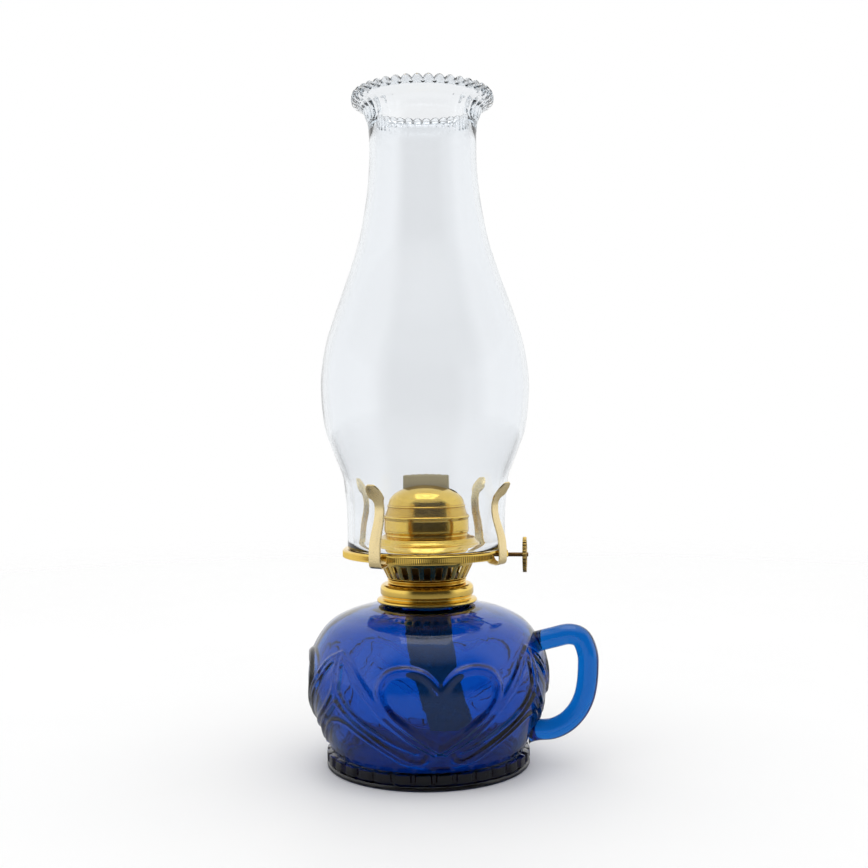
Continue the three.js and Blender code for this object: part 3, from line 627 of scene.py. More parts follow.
def finger_loop():
    """The loop of the handle as a round rod with spread ends."""
    reach, root = HANDLE_END - 5.02, FONT_RADIUS - 6
    rise = COLLAR_FOOT - FOOT_HEIGHT
    shares = (
        (-0.1, 0.715), (0, 0.73), (0.35, 0.765), (0.66, 0.79), (0.88, 0.76), (0.99, 0.66), (1, 0.56),
        (0.975, 0.45), (0.91, 0.35), (0.78, 0.26), (0.58, 0.185), (0.33, 0.14), (0.05, 0.13), (-0.1, 0.13),
    )
    line = smooth_line([(root + (reach - root) * out, FOOT_HEIGHT + rise * up) for out, up in shares], 84)
    path = bpy.data.curves.new("finger_loop_path", "CURVE")
    path.dimensions = "3D"
    path.bevel_depth = 4.9
    path.bevel_resolution = 8
    path.use_fill_caps = True
    spline = path.splines.new("POLY")
    spline.points.add(len(line) - 1)
    for i, (point, (x, z)) in enumerate(zip(spline.points, line)):
        share = i / (len(line) - 1)
        end = min(share, 1 - share)
        point.co = (x, 0, z, 1)
        point.radius = 1 + 0.42 * max(0, 1 - end / 0.11) ** 2
    loop = bpy.data.objects.new("finger_loop", path)
    bpy.context.scene.collection.objects.link(loop)
    bpy.context.view_layer.update()
    bm = bmesh.new()
    mesh = loop.to_mesh()
    bm.from_mesh(mesh)
    bpy.data.objects.remove(loop)
    bmesh.ops.remove_doubles(bm, verts=bm.verts[:], dist=1e-4)
    bmesh.ops.recalc_face_normals(bm, faces=bm.faces[:])
    return new_object("finger_loop_solid", bm)


# ---- Burner pieces ------------------------------------------------------------------------------


def collar_profile():
    foot = COLLAR_FOOT
    outside = [
        (22.6, foot + 0.3), (23.6, foot + 0.5), (24, foot + 1.1), (23.8, foot + 1.8), (23, foot + 2.3),
        (21.9, foot + 2.7), (21.5, foot + 3.2), (21.7, foot + 3.9), (22.2, foot + 4.4), (22.3, foot + 5.2),
        (22.3, foot + 7), (22.1, foot + 8), (21.5, foot + 8.7), (20.8, foot + 9.1), (19.6, COLLAR_TOP),
    ]
    inside = [
        (16.6, COLLAR_TOP), (16.3, COLLAR_TOP - 0.4), (16.3, foot + 1.1), (17.1, foot + 1.1),
        (17.1, COLLAR_TOP - 1), (21.2, COLLAR_TOP - 1), (21.2, foot + 0.3),
    ]
    return smooth_line(outside, 56) + rounded(inside, 0.15, closed=False, steps=2)


def ring_profile():
    seat = COLLAR_TOP + 0.3
    outside = smooth_line(
        [(18.5, seat), (18.9, seat + 0.2), (19, seat + 0.5), (18.75, seat + 0.9), (18.45, seat + 1.1),
         (18.75, seat + 1.35), (19, seat + 1.7), (18.9, seat + 2), (18.6, RING_TOP)], 32
    )
    thread = []
    for turn in range(3):
        crest = THREAD_BOTTOM + 1.25 + 2.5 * turn
        thread += [(15.45, crest - 1.15), (15.8, crest - 0.45), (16, crest), (15.8, crest + 0.45)]
    return [(14.9, RING_TOP), (14.9, THREAD_BOTTOM)] + thread + [(15.4, seat)] + outside


def basket_sheet():
    """The slotted cone: the faces of the slots are taken out of the sheet before it gets its thickness."""
    cone_top = BASKET_BOTTOM + 7.2
    line = [(19, BASKET_BOTTOM), (19.15, BASKET_BOTTOM + 0.4)]
    line += [(19.15 + 0.49 * t, BASKET_BOTTOM + 0.4 + t) for t in np.linspace(0.8, 6.2, 7)]
    shoulder = [(22.45, cone_top), (22.95, cone_top + 1), (23.2, cone_top + 2.4), (23.2, BASKET_TOP)]
    line += smooth_line(shoulder, 12)
    bm = turned(line, 216)
    slot_low, slot_high = BASKET_BOTTOM + 0.4, BASKET_BOTTOM + 6.6
    gone = []
    for face in bm.faces:
        middle = face.calc_center_median()
        turn = math.degrees(math.atan2(middle.y, middle.x)) / 15 - 0.5
        off = abs(turn - round(turn))
        if slot_low < middle.z < slot_high and off < 0.225:
            gone.append(face)
    bmesh.ops.delete(bm, geom=gone, context="FACES")
    bmesh.ops.recalc_face_normals(bm, faces=bm.faces[:])
    return bm


def gallery_profile():
    points = [
        (22, DECK_BOTTOM), (23.5, DECK_BOTTOM), (23.5, DECK_BOTTOM - 4.2), (24.3, DECK_BOTTOM - 4.2),
        (24.3, DECK_BOTTOM), (GALLERY_RADIUS - 1, DECK_BOTTOM), (GALLERY_RADIUS - 1, RIM_BOTTOM),
        (GALLERY_RADIUS, RIM_BOTTOM), (GALLERY_RADIUS, RIM_BOTTOM + 1), (GALLERY_RADIUS, RIM_BOTTOM + 2.6),
        (GALLERY_RADIUS - 0.1, DECK_TOP - 0.6), (GALLERY_RADIUS - 0.9, DECK_TOP), (34.2, DECK_TOP),
        (33.9, DECK_TOP - 0.25), (33.2, DECK_TOP - 0.25), (32.9, DECK_TOP), (29.5, DECK_TOP),
        (29.1, DECK_TOP + 0.5), (27, DECK_TOP + 0.5), (26.6, DECK_TOP), (22, DECK_TOP),
    ]
    return rounded(points, 0.3, steps=2)


def mill_rim(points):
    """Fine upright milling round the rim."""
    radius, angle = polar(points)
    z = points[:, 2]
    band = np.clip((z - RIM_BOTTOM - 0.1) / 0.3, 0, 1) * np.clip((DECK_TOP - 0.7 - z) / 0.3, 0, 1)
    depth = 0.22 * (0.5 - 0.5 * np.cos(angle * RIM_TEETH)) * band * (radius > GALLERY_RADIUS - 0.3)
    return pushed_out(points, radius, -depth)


def cut_gallery(deck):
    """Notches for the prongs and the open stretch of the rim where the shaft passes."""
    seat, reach = 38.1, 8
    bm = bmesh.new()
    for azimuth in PRONG_AZIMUTHS:
        side = Matrix.Rotation(math.radians(azimuth), 4, "Z")
        notch = Matrix.Translation((seat + reach / 2, 0, DECK_TOP)) @ Matrix.Diagonal(
            (reach, PRONG_WIDTH + 1.6, 12, 1)
        )
        bmesh.ops.create_cube(bm, size=1, matrix=side @ notch)
    middle, steps = math.asin(SHAFT_OFFSET / GALLERY_RADIUS), 10
    arc = [middle + math.radians(-20 + 40 * i / steps) for i in range(steps + 1)]
    corners = [(seat * math.cos(a), seat * math.sin(a), DECK_TOP - 4.8) for a in arc]
    corners += [(46 * math.cos(a), 46 * math.sin(a), DECK_TOP - 4.8) for a in (arc[-1], arc[0])]
    base = bm.faces.new([bm.verts.new(c) for c in corners])
    grown = bmesh.ops.extrude_face_region(bm, geom=[base])
    top = [v for v in grown["geom"] if isinstance(v, bmesh.types.BMVert)]
    bmesh.ops.translate(bm, verts=top, vec=(0, 0, 6))
    bmesh.ops.recalc_face_normals(bm, faces=bm.faces[:])
    combine(deck, new_object("rim_cuts", bm), "DIFFERENCE")


def dome_outside():
    cap_bottom, cap_height, shoulder = DOME_TOP - 9.5, 9.5, 18.2
    cap = [
        (shoulder * math.sin(a), cap_bottom + cap_height * math.cos(a))
        for a in np.linspace(0, math.pi / 2 - 0.04, 26)
    ]
    step = DOME_BOTTOM + 14.6

    def stretch(level, shape, count):
        return smooth_line([(radius, level + up) for radius, up in shape], count)

    bead = stretch(cap_bottom, ((18.3, -0.1), (18.75, -0.3), (18.85, -0.7), (18.55, -1.1)), 9)
    bead_low = stretch(step, ((19.75, 0.9), (20.35, 0.6), (20.6, 0.1), (20.45, -0.5)), 9)
    drum = stretch(
        step, ((20.2, -1.1), (20.25, -3.5), (20.3, -6), (20.1, -7.3), (19.7, -7.9), (19.9, -8.6)), 20
    )
    flare = stretch(
        DOME_BOTTOM,
        ((20.9, 5.5), (22.3, 5.1), (23.1, 4.8), (23.5, 4.2), (24.3, 3.3), (25, 2.9), (25.4, 2.1), (26.1, 1.3),
         (26.3, 0)), 36
    )
    return cap + bead + [(19, cap_bottom - 3)] + bead_low + drum + flare


def strip(bm, line, half_width_at, columns=6):
    """A strip of sheet run along a line in the XZ plane, with a width that changes on the way."""
    x, z = line[0]
    width = half_width_at(z, 0)
    row = [bm.verts.new((x, width * (2 * k / columns - 1), z)) for k in range(columns + 1)]
    edges = [bm.edges.new(pair) for pair in zip(row, row[1:])]
    for i in range(1, len(line)):
        grown = bmesh.ops.extrude_edge_only(bm, edges=edges)["geom"]
        row = [g for g in grown if isinstance(g, bmesh.types.BMVert)]
        edges = [g for g in grown if isinstance(g, bmesh.types.BMEdge)]
        step = Vector((line[i][0] - line[i - 1][0], 0, line[i][1] - line[i - 1][1]))
        bmesh.ops.translate(bm, verts=row, vec=step)
        new_width = half_width_at(line[i][1], i)
        bmesh.ops.scale(bm, verts=row, vec=(1, new_width / width, 1))
        width = new_width


def prong_line():
    bend, grip, tip = 42.85, 38.75, DECK_TOP + 32
    return smooth_line(
        [(HOOK_SPLIT + 0.3, HOOK_BOTTOM + 0.7), (bend - 1.2, HOOK_BOTTOM + 0.7), (bend, HOOK_BOTTOM + 3),
         (bend - 0.5, DECK_TOP + 6), (grip + 0.6, DECK_TOP + 15.36), (grip, DECK_TOP + 20.48),
         (grip + 0.7, DECK_TOP + 24.32), (grip + 3, DECK_TOP + 28.16), (grip + 7, tip)], 72
    )


def prong_sheet():
    heights = np.array([90, 106, 120, 126.2, 127.6, 128.8, 130.6, 132.6, 134.2, 134.8]) - 102.8 + DECK_TOP
    widths = (3.25, 3.1, 2.6, 2.5, 3.0, 4.15, 4.2, 3.7, 2.6, 1.5)
    bm = bmesh.new()
    strip(bm, prong_line(), lambda z, _: float(np.interp(z, heights, widths)))
    bmesh.ops.recalc_face_normals(bm, faces=bm.faces[:])

    def cup(points):
        up = points[:, 2] - DECK_TOP
        head = np.clip((up - 22) / 5, 0, 1)
        points[:, 0] += head * 0.075 * points[:, 1] ** 2
        rib = np.clip((up - 2) / 4, 0, 1) * np.clip((20 - up) / 4, 0, 1)
        points[:, 0] += rib * 0.25 * (1 - np.clip(np.abs(points[:, 1]) / 2, 0, 1))
        return points

    sculpt(bm, cup)
    return bm


def hook_sheet():
    top = DECK_BOTTOM - 0.65
    line = rounded(
        [(RIVET_DISTANCE - 3.3, top), (RIVET_DISTANCE + 3, top), (RIVET_DISTANCE + 4.6, top - 0.8),
         (HOOK_SPLIT - 2.4, HOOK_BOTTOM + 1.3), (HOOK_SPLIT - 0.3, HOOK_BOTTOM + 0.7)],
        1.6, closed=False, steps=5,
    )
    bm = bmesh.new()
    strip(bm, line, lambda z, i: PRONG_WIDTH / 2)
    bmesh.ops.recalc_face_normals(bm, faces=bm.faces[:])
    return bm


def thicken(piece, thickness, bevel, offset=0):
    solid = piece.modifiers.new("thickness", "SOLIDIFY")
    solid.thickness = thickness
    solid.offset = offset
    solid.use_even_offset = True
    if bevel:
        edge = piece.modifiers.new("edges", "BEVEL")
        edge.width = bevel
        edge.segments = 2
        edge.limit_method = "ANGLE"
        edge.angle_limit = math.radians(50)
    apply_modifiers(piece)


def to_shaft(distance):
    """Turns a piece spun about Z so that it lies on the shaft, at a distance from the lamp's axis."""
    place = Matrix.Translation((distance, SHAFT_OFFSET, SHAFT_HEIGHT)) @ Matrix.Rotation(math.pi / 2, 4, "Y")
    return TO_BURNER @ place


def wick_solid():
    """The braided wick: a rounded slab that hangs straight in its tube and drifts sideways in the oil."""
    straight = BASKET_BOTTOM - 8
    bm = bmesh.new()
    place = Matrix.Translation((0, 0, (WICK_TOP + WICK_BOTTOM) / 2)) @ Matrix.Diagonal(
        (22, 3, WICK_TOP - WICK_BOTTOM, 1)
    )
    bmesh.ops.create_cube(bm, size=1, matrix=place)
    for axis, cuts in ((2, 300), (0, 66), (1, 5)):
        edges = []
        for edge in bm.edges:
            along = (edge.verts[0].co - edge.verts[1].co).normalized()
            if abs(along[axis]) > 0.9:
                edges.append(edge)
        bmesh.ops.subdivide_edges(bm, edges=edges, cuts=cuts, use_grid_fill=True)

    def braid(points):
        x, y, z = points.T.copy()
        per_turn = math.pi * BRAID_COLUMNS * MILLIMETRE
        edge = np.clip((np.abs(x) - 9.6) / 1.4, 0, 1)
        y = y * (1 - 0.35 * edge**2)
        top = np.clip((z - WICK_TOP + 1.2) / 1.2, 0, 1)
        y = y * (1 - 0.25 * top**2)
        z = z - top * (0.55 * (x / 11) ** 2 + 0.16 * (1 - np.cos(x * per_turn)))
        per_length = BRAID_COLUMNS * MILLIMETRE
        column = 1 - np.abs((x * per_length) % 2 - 1)
        yarn = np.sin(2 * math.pi * (z * per_length * BRAID_RISE + column * BRAID_SLANT))
        depth = 0.16 * (1 - yarn) * (np.abs(y) > 0.9)
        y = y - np.sign(y) * depth
        drift = np.clip((straight - z) / (straight - WICK_BOTTOM), 0, 1)
        return np.stack([x + 12 * drift**2, y, z], 1)

    sculpt(bm, braid)
    bmesh.ops.recalc_face_normals(bm, faces=bm.faces[:])
    return bm


# ---- Chimney ------------------------------------------------------------------------------------

CHIMNEY_SHARES = (
    (0.55, 0.1304), (0.6, 0.163), (0.79, 0.216), (0.93, 0.263), (1, 0.335), (0.985, 0.39), (0.88, 0.455),
    (0.66, 0.53), (0.42, 0.605), (0.235, 0.67), (0.12, 0.73), (0.04, 0.79), (0, 0.85), (0, 0.905),
)
CHIMNEY_NECK = 25.7
CHIMNEY_BULGE = 49.7
CHIMNEY_BASE = 37.8
LIP_BEADS = 40
# The flare, rim and mouth of the lip as (radius, depth below the top).
LIP_SHAPE = (
    (26.3, 15), (27.3, 12), (28.2, 9.6), (29.6, 7.6), (31.8, 6.2), (33.5, 5.4), (34.1, 4.2), (34.1, 2.6),
    (33.8, 1.2), (33, 0.2), (32.2, 0), (31.2, 0.4), (30.2, 1.6), (28.6, 3.4), (26.6, 4.8), (24.6, 6.4),
    (23, 9.4), (22.8, 13),
)


def chimney_profile():
    spread_out = CHIMNEY_BULGE - CHIMNEY_NECK
    wall = smooth_line(
        [(CHIMNEY_BASE, GLASS_BOTTOM + 0.6), (CHIMNEY_BASE, GLASS_BOTTOM + GLASS_HEIGHT * 0.07)]
        + [(CHIMNEY_NECK + spread_out * r, GLASS_BOTTOM + GLASS_HEIGHT * h) for r, h in CHIMNEY_SHARES],
        50,
    )
    top = GLASS_TOP - 0.02
    lip = smooth_line(
        [wall[-1]] + [(radius, top - below) for radius, below in LIP_SHAPE], 96
    )[1:]
    inside = offset_line(wall, 2.6)[::-1]
    inside = [p for p in inside if p[1] < top - 15]
    foot = [(CHIMNEY_BASE - 2.3, GLASS_BOTTOM + 0.5), (CHIMNEY_BASE - 1.8, GLASS_BOTTOM),
            (CHIMNEY_BASE - 0.6, GLASS_BOTTOM)]
    return wall + lip + inside[:-1] + foot


def bead_lip(points, depth):
    """Presses the row of beads, with a flute and a small pit between each two, into the lip."""
    radius, angle = polar(points)
    phase = np.abs((angle / (2 * math.pi) * LIP_BEADS % 1) - 0.5) * 2
    below = GLASS_TOP - points[:, 2]
    lip = (radius > 29) & (below < 6.5)
    crown = phase**2.2
    drop = depth * crown * np.clip(1 - below / 2.6, 0, 1) * lip
    outer = radius > np.interp(below, [0, 4, 6.4, 10, 15], [30.8, 30.8, 30.4, 26.8, 25.8])
    flute = np.interp(below, [0, 2, 4, 9, 16], [0.8, 0.6, 0.35, 0.3, 0]) * crown * outer
    pit = 1.3 * np.exp(-((phase - 1) ** 2) / 0.07 - ((below - 3.6) / 0.6) ** 2) * outer
    return pushed_out(points, radius, -flute - pit, -drop)


# ---- Settings -----------------------------------------------------------------------------------


class OilLampShape(bpy.types.PropertyGroup):
    relief: FloatProperty(
        name="Relief", description="Height of the raised hearts and leaves, as a share of the usual one",
        default=1.0, min=0.0, max=1.0, subtype="FACTOR",
    )
    bead_depth: FloatProperty(
        name="Bead depth", description="How far the valleys between the lip's beads lie under their tops",
        default=0.0017, min=0.0, max=0.003, unit="LENGTH",
    )
    font_steps: IntProperty(
        name="Font steps", description="Facets round the blue glass", default=384, min=96, max=480,
    )


def color_setting(name, description, default):
    return FloatVectorProperty(
        name=name, description=description, subtype="COLOR", size=3, min=0.0, max=1.0, default=default
    )


class OilLampFinish(bpy.types.PropertyGroup):
    font_color: color_setting("Blue glass", "Tint at each surface of the blue glass", (0.13, 0.44, 0.84))
    font_depth_color: color_setting("Blue depth", "Colour that thick blue glass tends to", (0.0, 0.68, 0.86))
    font_density: FloatProperty(
        name="Blue density", description="How quickly the blue glass darkens with depth", default=430.0,
        min=0.0,
    )
    chimney_color: color_setting("Clear glass", "Tint at each surface of the chimney", (0.95, 0.958, 0.97))
    chimney_density: FloatProperty(
        name="Clear density", description="How quickly the clear glass darkens with depth", default=40.0,
        min=0.0,
    )
    brass_color: color_setting("Brass", "Polished brass", (0.87, 0.61, 0.14))
    brass_roughness: FloatProperty(
        name="Brass roughness", description="Roughness of the polished brass", default=0.13, min=0.02,
        max=1.0,
    )
    prong_color: color_setting("Spring brass", "Paler satin brass of the prongs", (0.86, 0.7, 0.38))
    dark_brass_color: color_setting("Dark brass", "Darkened brass of the wick raiser", (0.23, 0.13, 0.05))
    wick_color: color_setting("Cotton", "Yarn of the wick", (0.85, 0.74, 0.46))


class OilLampStage(bpy.types.PropertyGroup):
    floor_color: color_setting("Floor", "Colour of the floor", (0.92, 0.92, 0.92))
    sky_strength: FloatProperty(
        name="Room light", description="Brightness of the pale room", default=1.0, min=0.0,
    )
    top_light: FloatProperty(
        name="Top light", description="Power of the wide soft light above", default=2.6, min=0.0,
        unit="POWER",
    )
    camera_distance: FloatProperty(
        name="Camera distance", description="Camera to the lamp's axis", default=0.552, min=0.2,
        unit="LENGTH",
    )
    camera_height: FloatProperty(
        name="Camera height", description="Camera above the floor", default=0.1613, unit="LENGTH",
    )
    camera_turn: FloatProperty(
        name="Camera turn", description="From the wick raiser's shaft to the camera",
        default=math.radians(-83), subtype="ANGLE",
    )
    camera_lens: FloatProperty(
        name="Lens", description="Focal length", default=47.696, min=10.0, unit="CAMERA",
    )


# ---- Operators ----------------------------------------------------------------------------------


class OILLAMP_OT_font(bpy.types.Operator):
    """Blue glass font with its raised hearts, foot blocks and finger loop"""

    bl_idname = "oil_lamp.font"
    bl_label = "Font"

    def execute(self, context):
        shape, finish = context.scene.oil_lamp_shape, context.scene.oil_lamp_finish
        bm = turned(font_profile(), shape.font_steps)
        sculpt(bm, lambda points: raise_pattern(points, shape))
        piece = new_object("font_glass", bm)
        combine(piece, finger_loop(), "UNION")
        finish_piece(piece, TO_METRES, blue_glass(finish), "font", ["font"], crease=60)
        return {"FINISHED"}


class OILLAMP_OT_collar(bpy.types.Operator):
    """Brass collar on the neck and the burner's screw ring"""

    bl_idname = "oil_lamp.collar"
    bl_label = "Collar and Screw Ring"

    def execute(self, context):
        brass = polished_brass(context.scene.oil_lamp_finish)
        collar = new_object("collar_turned", turned(collar_profile(), 192, closed=True))
        finish_piece(collar, TO_METRES, brass, "font", ["collar"])
        ring = new_object("screw_ring_turned", turned(ring_profile(), 192, closed=True))
        finish_piece(ring, TO_METRES, brass, "burner_thread", ["screw_ring"])
        return {"FINISHED"}


class OILLAMP_OT_basket(bpy.types.Operator):
    """Slotted air basket under the gallery"""

    bl_idname = "oil_lamp.basket"
    bl_label = "Air Basket"

    def execute(self, context):
        basket = new_object("basket_slotted", basket_sheet())
        thicken(basket, SHEET, 0.1, offset=-1)
        brass = polished_brass(context.scene.oil_lamp_finish)
        finish_piece(basket, TO_BURNER, brass, "burner", ["vent_basket"])
        return {"FINISHED"}


class OILLAMP_OT_gallery(bpy.types.Operator):
    """Gallery deck with its milled rim, prong notches and shaft gap"""

    bl_idname = "oil_lamp.gallery"
    bl_label = "Gallery"

    def execute(self, context):
        bm = turned(gallery_profile(), 1064, closed=True)
        sculpt(bm, mill_rim)
        deck = new_object("gallery_milled", bm)
        cut_gallery(deck)
        brass = polished_brass(context.scene.oil_lamp_finish)
        finish_piece(deck, TO_BURNER, brass, "burner", ["gallery"])
        return {"FINISHED"}


class OILLAMP_OT_dome(bpy.types.Operator):
    """Domed deflector with its slot for the flame"""

    bl_idname = "oil_lamp.dome"
    bl_label = "Dome"

    def execute(self, context):
        outside = dome_outside()
        inside = offset_line(outside, -SHEET)[::-1]
        inside[-1] = (0, inside[-1][1])
        bm = turned(outside + inside, 192)
        dome = new_object("dome_spun", bm)
        bm = bmesh.new()
        slot = Matrix.Translation((0, 0, DOME_TOP)) @ Matrix.Diagonal((30, 6.4, 19, 1))
        bmesh.ops.create_cube(bm, size=1, matrix=slot)
        upright = [e for e in bm.edges if abs((e.verts[0].co - e.verts[1].co).z) > 10]
        bmesh.ops.bevel(
            bm, geom=upright, offset=2.2, offset_type="OFFSET", affect="EDGES", segments=5, profile=0.5,
            material=-1,
        )
        combine(dome, new_object("flame_slot", bm), "DIFFERENCE")
        brass = polished_brass(context.scene.oil_lamp_finish)
        finish_piece(dome, TO_BURNER, brass, "burner", ["dome"])
        return {"FINISHED"}


class OILLAMP_OT_prongs(bpy.types.Operator):
    """Four spring prongs with their hooked brackets and rivets"""

    bl_idname = "oil_lamp.prongs"
    bl_label = "Prongs"

    def execute(self, context):
        finish = context.scene.oil_lamp_finish
        pale, brass = spring_brass(finish), polished_brass(finish)
        underside = DECK_BOTTOM - 1
        rivet = [
            (0, underside - 1.1), (1, underside - 1.1), (1.5, underside - 0.8), (1.5, underside - 0.3),
            (0.75, underside - 0.3), (0.75, DECK_TOP + 0.3), (1.5, DECK_TOP + 0.3), (1.35, DECK_TOP + 0.75),
            (0.8, DECK_TOP + 1.05), (0, DECK_TOP + 1.1),
        ]
        for k, azimuth in enumerate(PRONG_AZIMUTHS, 1):
            place = TO_BURNER @ Matrix.Rotation(math.radians(azimuth), 4, "Z")
            prong = new_object(f"prong_strip_{k}", prong_sheet())
            thicken(prong, SHEET, 0.12)
            finish_piece(prong, place, pale, f"prong_{k}", [f"prong_{k}"])
            hook = new_object(f"prong_hook_{k}", hook_sheet())
            thicken(hook, SHEET, 0.12)
            finish_piece(hook, place, pale, "burner", [f"prong_bracket_{k}"])
            head = new_object(f"rivet_{k}", turned(rivet, 32))
            beside = place @ Matrix.Translation((RIVET_DISTANCE, 0, 0))
            finish_piece(head, beside, brass, "burner", [f"prong_rivet_{k}"])
        return {"FINISHED"}


class OILLAMP_OT_raiser(bpy.types.Operator):
    """Milled knob and shaft of the wick raiser"""

    bl_idname = "oil_lamp.raiser"
    bl_label = "Wick Raiser"

    def execute(self, context):
        dark = dark_brass(context.scene.oil_lamp_finish)
        profile = rounded(
            [(1.3, -1.1), (2.6, -1.1), (2.9, -0.5), (6.4, -0.5), (6.9, -0.9), (8.5, -0.9), (8.5, 0.9),
             (6.9, 0.9), (6.4, 0.5), (2.9, 0.5), (2.6, 1.1), (1.3, 1.1)], 0.18, steps=2
        )
        bm = turned(profile, 240, closed=True)

        def mill(points):
            radius, angle = polar(points)
            depth = 0.5 * (0.5 - 0.5 * np.cos(angle * KNOB_TEETH)) ** 1.5 * (radius > 8.1)
            return pushed_out(points, radius, -depth)

        sculpt(bm, mill)
        knob = new_object("knob_milled", bm)
        place = to_shaft(KNOB_DISTANCE)
        finish_piece(knob, place, milled_brass(), "wick_raiser", ["knob_wheel"])
        rod = [(0, -56.9), (0.8, -56.9), (1, -56.7), (1, 1.5), (0.8, 1.7), (0, 1.7)]
        shaft = new_object("shaft_rod", turned(rod, 32))
        finish_piece(shaft, place, dark, "wick_raiser", ["raiser_shaft"])
        return {"FINISHED"}


class OILLAMP_OT_wick(bpy.types.Operator):
    """Braided cotton wick"""

    bl_idname = "oil_lamp.wick"
    bl_label = "Wick"

    def execute(self, context):
        wick = new_object("wick_braided", wick_solid())
        cotton = wick_cotton(context.scene.oil_lamp_finish)
        finish_piece(wick, TO_BURNER, cotton, "wick", ["wick"], crease=80)
        return {"FINISHED"}


class OILLAMP_OT_chimney(bpy.types.Operator):
    """Clear glass chimney with its beaded lip"""

    bl_idname = "oil_lamp.chimney"
    bl_label = "Chimney"

    def execute(self, context):
        depth = context.scene.oil_lamp_shape.bead_depth / MILLIMETRE
        bm = turned(chimney_profile(), 12 * LIP_BEADS, closed=True)
        sculpt(bm, lambda points: bead_lip(points, depth))
        glass = new_object("chimney_glass", bm)
        clear = clear_glass(context.scene.oil_lamp_finish)
        finish_piece(glass, TO_METRES, clear, "chimney", ["chimney"], crease=60)
        return {"FINISHED"}


class OILLAMP_OT_inner_works(bpy.types.Operator):
    """Finishes for the pieces inside the burner and the collar, which keep their CAD shape"""

    bl_idname = "oil_lamp.inner_works"
    bl_label = "Inner Works"

    def execute(self, context):
        for name in (
            "base_plate", "air_diffuser", "wick_tube", "vent_tube", "raiser_housing", "shaft_bushing",
            "spur_wheel_inner", "spur_wheel_outer",
        ):
            frame["nodes"][name].material_slots[0].material = dull_brass()
        frame["nodes"]["collar_cement"].material_slots[0].material = collar_plaster()
        return {"FINISHED"}


class OILLAMP_OT_stage(bpy.types.Operator):
    """Pale floor, soft studio light and the camera"""

    bl_idname = "oil_lamp.stage"
    bl_label = "Stage"

    def execute(self, context):
        stage = context.scene.oil_lamp_stage
        lay_floor(stage)
        light_room(stage)
        place_camera(stage)
        return {"FINISHED"}


def lay_floor(stage):
    bm = bmesh.new()
    bmesh.ops.create_circle(bm, cap_ends=True, segments=96, radius=6)
    floor = new_object("floor", bm)
    floor.data.transform(Matrix.Translation((0, 0, CAD_BOX[0][2] - 0.0002)))
    material, tree, shader, _ = new_material("Matt floor")
    place = node(tree, "ShaderNodeTexCoord").outputs["Object"]
    mottle = noise(tree, place, 6.0, 3.0)
    low, high = [c * 0.985 for c in stage.floor_color], stage.floor_color
    tint = blend_colors(tree, spread(tree, mottle, 0.3, 0.7, 0.0, 1.0), rgba(low), rgba(high))
    # Painted shade: seen in mirrored light the floor turns dark, a painted reflection of the shade below the
    # lamp.
    mirrored = spread(tree, node(tree, "ShaderNodeLightPath").outputs["Glossy Depth"], 0.0, 1.0, 0.0, 0.6)
    tint = blend_colors(tree, mirrored, tint, (0.05, 0.045, 0.04, 1))
    tree.links.new(tint, shader.inputs["Base Color"])
    tree.links.new(spread(tree, mottle, 0.3, 0.7, 0.55, 0.65), shader.inputs["Roughness"])
    away = node(tree, "ShaderNodeVectorMath", {0: place}, operation="LENGTH").outputs["Value"]
    tree.links.new(spread(tree, away, 0.3, 1.1, 1.0, 0.0), shader.inputs["Alpha"])
    floor.data.materials.append(material)


# The room's dark side behind the camera: the bearings, in degrees, between which it fades in and out, and
# the rise over which it ends. It shows only in mirrored light and past both walls of the chimney.
DARK_SIDE = ((-56, -36), (56, 76))
DARK_TOP = (0.6, 0.9)
CHIMNEY_FACES = 4.0


def light_room(stage):
    """A white room with a dark side behind the camera and a wide soft light above."""
    scene = bpy.context.scene
    scene.view_settings.view_transform = "Standard"
    world = bpy.data.worlds.new("Pale room")
    scene.world = world
    world.use_nodes = True
    tree = world.node_tree
    background = tree.nodes["Background"]
    background.inputs["Strength"].default_value = stage.sky_strength
    view = BURNER_TURN + stage.camera_turn
    direction = node(tree, "ShaderNodeTexCoord").outputs["Generated"]
    faced = node(tree, "ShaderNodeMapping", {"Vector": direction, "Rotation": (0, 0, -view)}).outputs[0]
    ahead, right, up = node(tree, "ShaderNodeSeparateXYZ", {0: faced}).outputs
    turn = math_node(tree, "ARCTAN2", right, ahead)
    left_edge, right_edge = [[math.radians(angle) for angle in edge] for edge in DARK_SIDE]
    bounces = node(tree, "ShaderNodeLightPath").outputs
    mirrored = spread(tree, bounces["Glossy Depth"], 0.0, 1.0, 0.0, 1.0)
    beyond_walls = spread(tree, bounces["Transmission Depth"], CHIMNEY_FACES, CHIMNEY_FACES + 1.0, 0.0, 1.0)
    shade = spread(tree, turn, *left_edge, 0.0, 1.0)
    for share in (
        spread(tree, turn, *right_edge, 1.0, 0.0),
        spread(tree, up, *DARK_TOP, 1.0, 0.0),
        spread(tree, bounces["Diffuse Depth"], 0.0, 1.0, 1.0, 0.0),
        math_node(tree, "MAXIMUM", mirrored, beyond_walls),
    ):
        shade = math_node(tree, "MULTIPLY", shade, share)
    tint = blend_colors(tree, shade, (1.0, 1.0, 1.0, 1), (0.05, 0.048, 0.045, 1))
    tree.links.new(tint, background.inputs["Color"])
    light = bpy.data.lights.new("soft_top", "AREA")
    light.size = 0.8
    light.energy = stage.top_light
    lamp = bpy.data.objects.new("soft_top", light)
    scene.collection.objects.link(lamp)
    lamp.matrix_world = Matrix.Translation((0, 0, 1.3))


# Turns of the camera to its left, down and about its own axis, away from a level view of the lamp's axis.
CAMERA_AIM = (math.radians(0.4235), math.radians(0.448), math.radians(0.55))


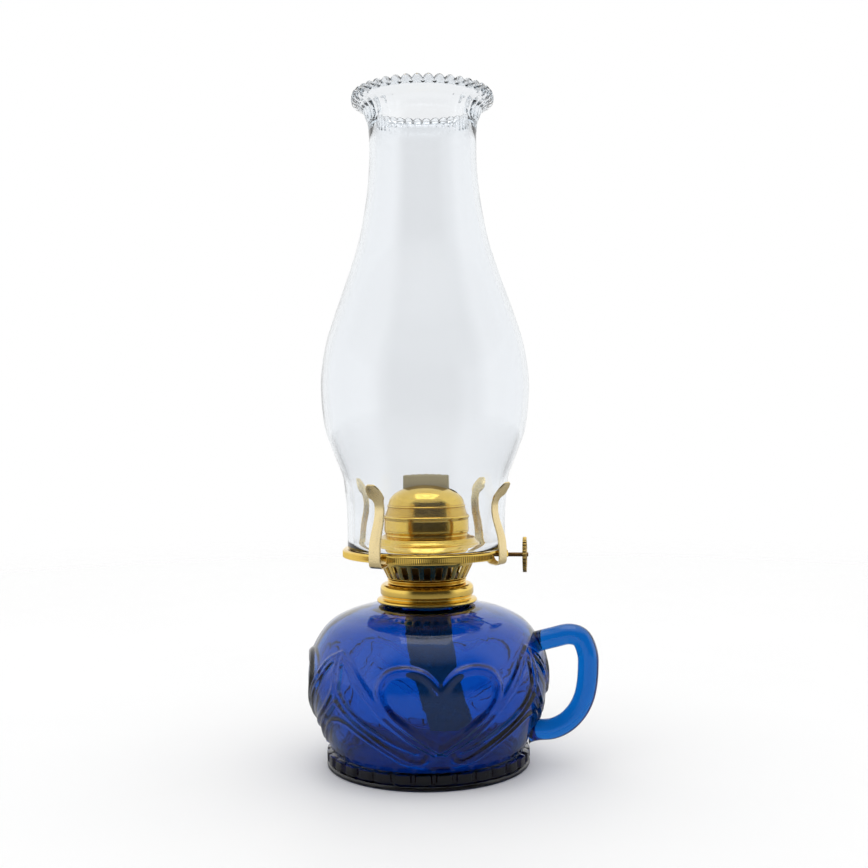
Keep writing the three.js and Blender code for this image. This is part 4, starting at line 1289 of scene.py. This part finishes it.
def place_camera(stage):
    view = BURNER_TURN + stage.camera_turn
    yaw, pitch, roll = CAMERA_AIM
    outward, up = Vector((math.cos(view), math.sin(view), 0)), Vector((0, 0, 1))
    ahead = -outward
    right = ahead.cross(up)
    ahead = ahead * math.cos(yaw) + right * math.sin(yaw)
    right = ahead.cross(up)
    ahead = ahead * math.cos(pitch) - up * math.sin(pitch)
    above = right.cross(ahead)
    above = above * math.cos(roll) + right * math.sin(roll)
    right = ahead.cross(above)
    data = bpy.data.cameras.new("camera")
    data.lens = stage.camera_lens
    data.sensor_width = 36
    data.clip_start = 0.01
    camera = bpy.data.objects.new("camera", data)
    bpy.context.scene.collection.objects.link(camera)
    turn = Matrix((right, above, -ahead)).transposed().to_4x4()
    stand = outward * stage.camera_distance + up * stage.camera_height
    camera.matrix_world = Matrix.Translation(stand) @ turn
    bpy.context.scene.camera = camera


# ---- Panel and registration ---------------------------------------------------------------------

OPERATORS = (
    OILLAMP_OT_font, OILLAMP_OT_collar, OILLAMP_OT_basket, OILLAMP_OT_gallery, OILLAMP_OT_dome,
    OILLAMP_OT_prongs, OILLAMP_OT_raiser, OILLAMP_OT_wick, OILLAMP_OT_chimney, OILLAMP_OT_inner_works,
    OILLAMP_OT_stage,
)


class OILLAMP_PT_panel(bpy.types.Panel):
    bl_idname = "OILLAMP_PT_panel"
    bl_label = "Oil Lamp"
    bl_space_type = "VIEW_3D"
    bl_region_type = "UI"
    bl_category = "Oil Lamp"

    def draw(self, context):
        for key, _ in GROUPS:
            settings = getattr(context.scene, key)
            box = self.layout.box()
            for value in settings.__annotations__:
                box.prop(settings, value)
        for operator in OPERATORS:
            self.layout.operator(operator.bl_idname)


GROUPS = (
    ("oil_lamp_shape", OilLampShape), ("oil_lamp_finish", OilLampFinish), ("oil_lamp_stage", OilLampStage),
)


def register():
    for key, group in GROUPS:
        bpy.utils.register_class(group)
        setattr(bpy.types.Scene, key, PointerProperty(type=group))
    for operator in OPERATORS:
        bpy.utils.register_class(operator)
    bpy.utils.register_class(OILLAMP_PT_panel)


def unregister():
    bpy.utils.unregister_class(OILLAMP_PT_panel)
    for operator in reversed(OPERATORS):
        bpy.utils.unregister_class(operator)
    for key, group in reversed(GROUPS):
        delattr(bpy.types.Scene, key)
        bpy.utils.unregister_class(group)


def main():
    register()
    for operator in OPERATORS:
        group, name = operator.bl_idname.split(".")
        getattr(getattr(bpy.ops, group), name)()


if __name__ == "__main__":
    main()
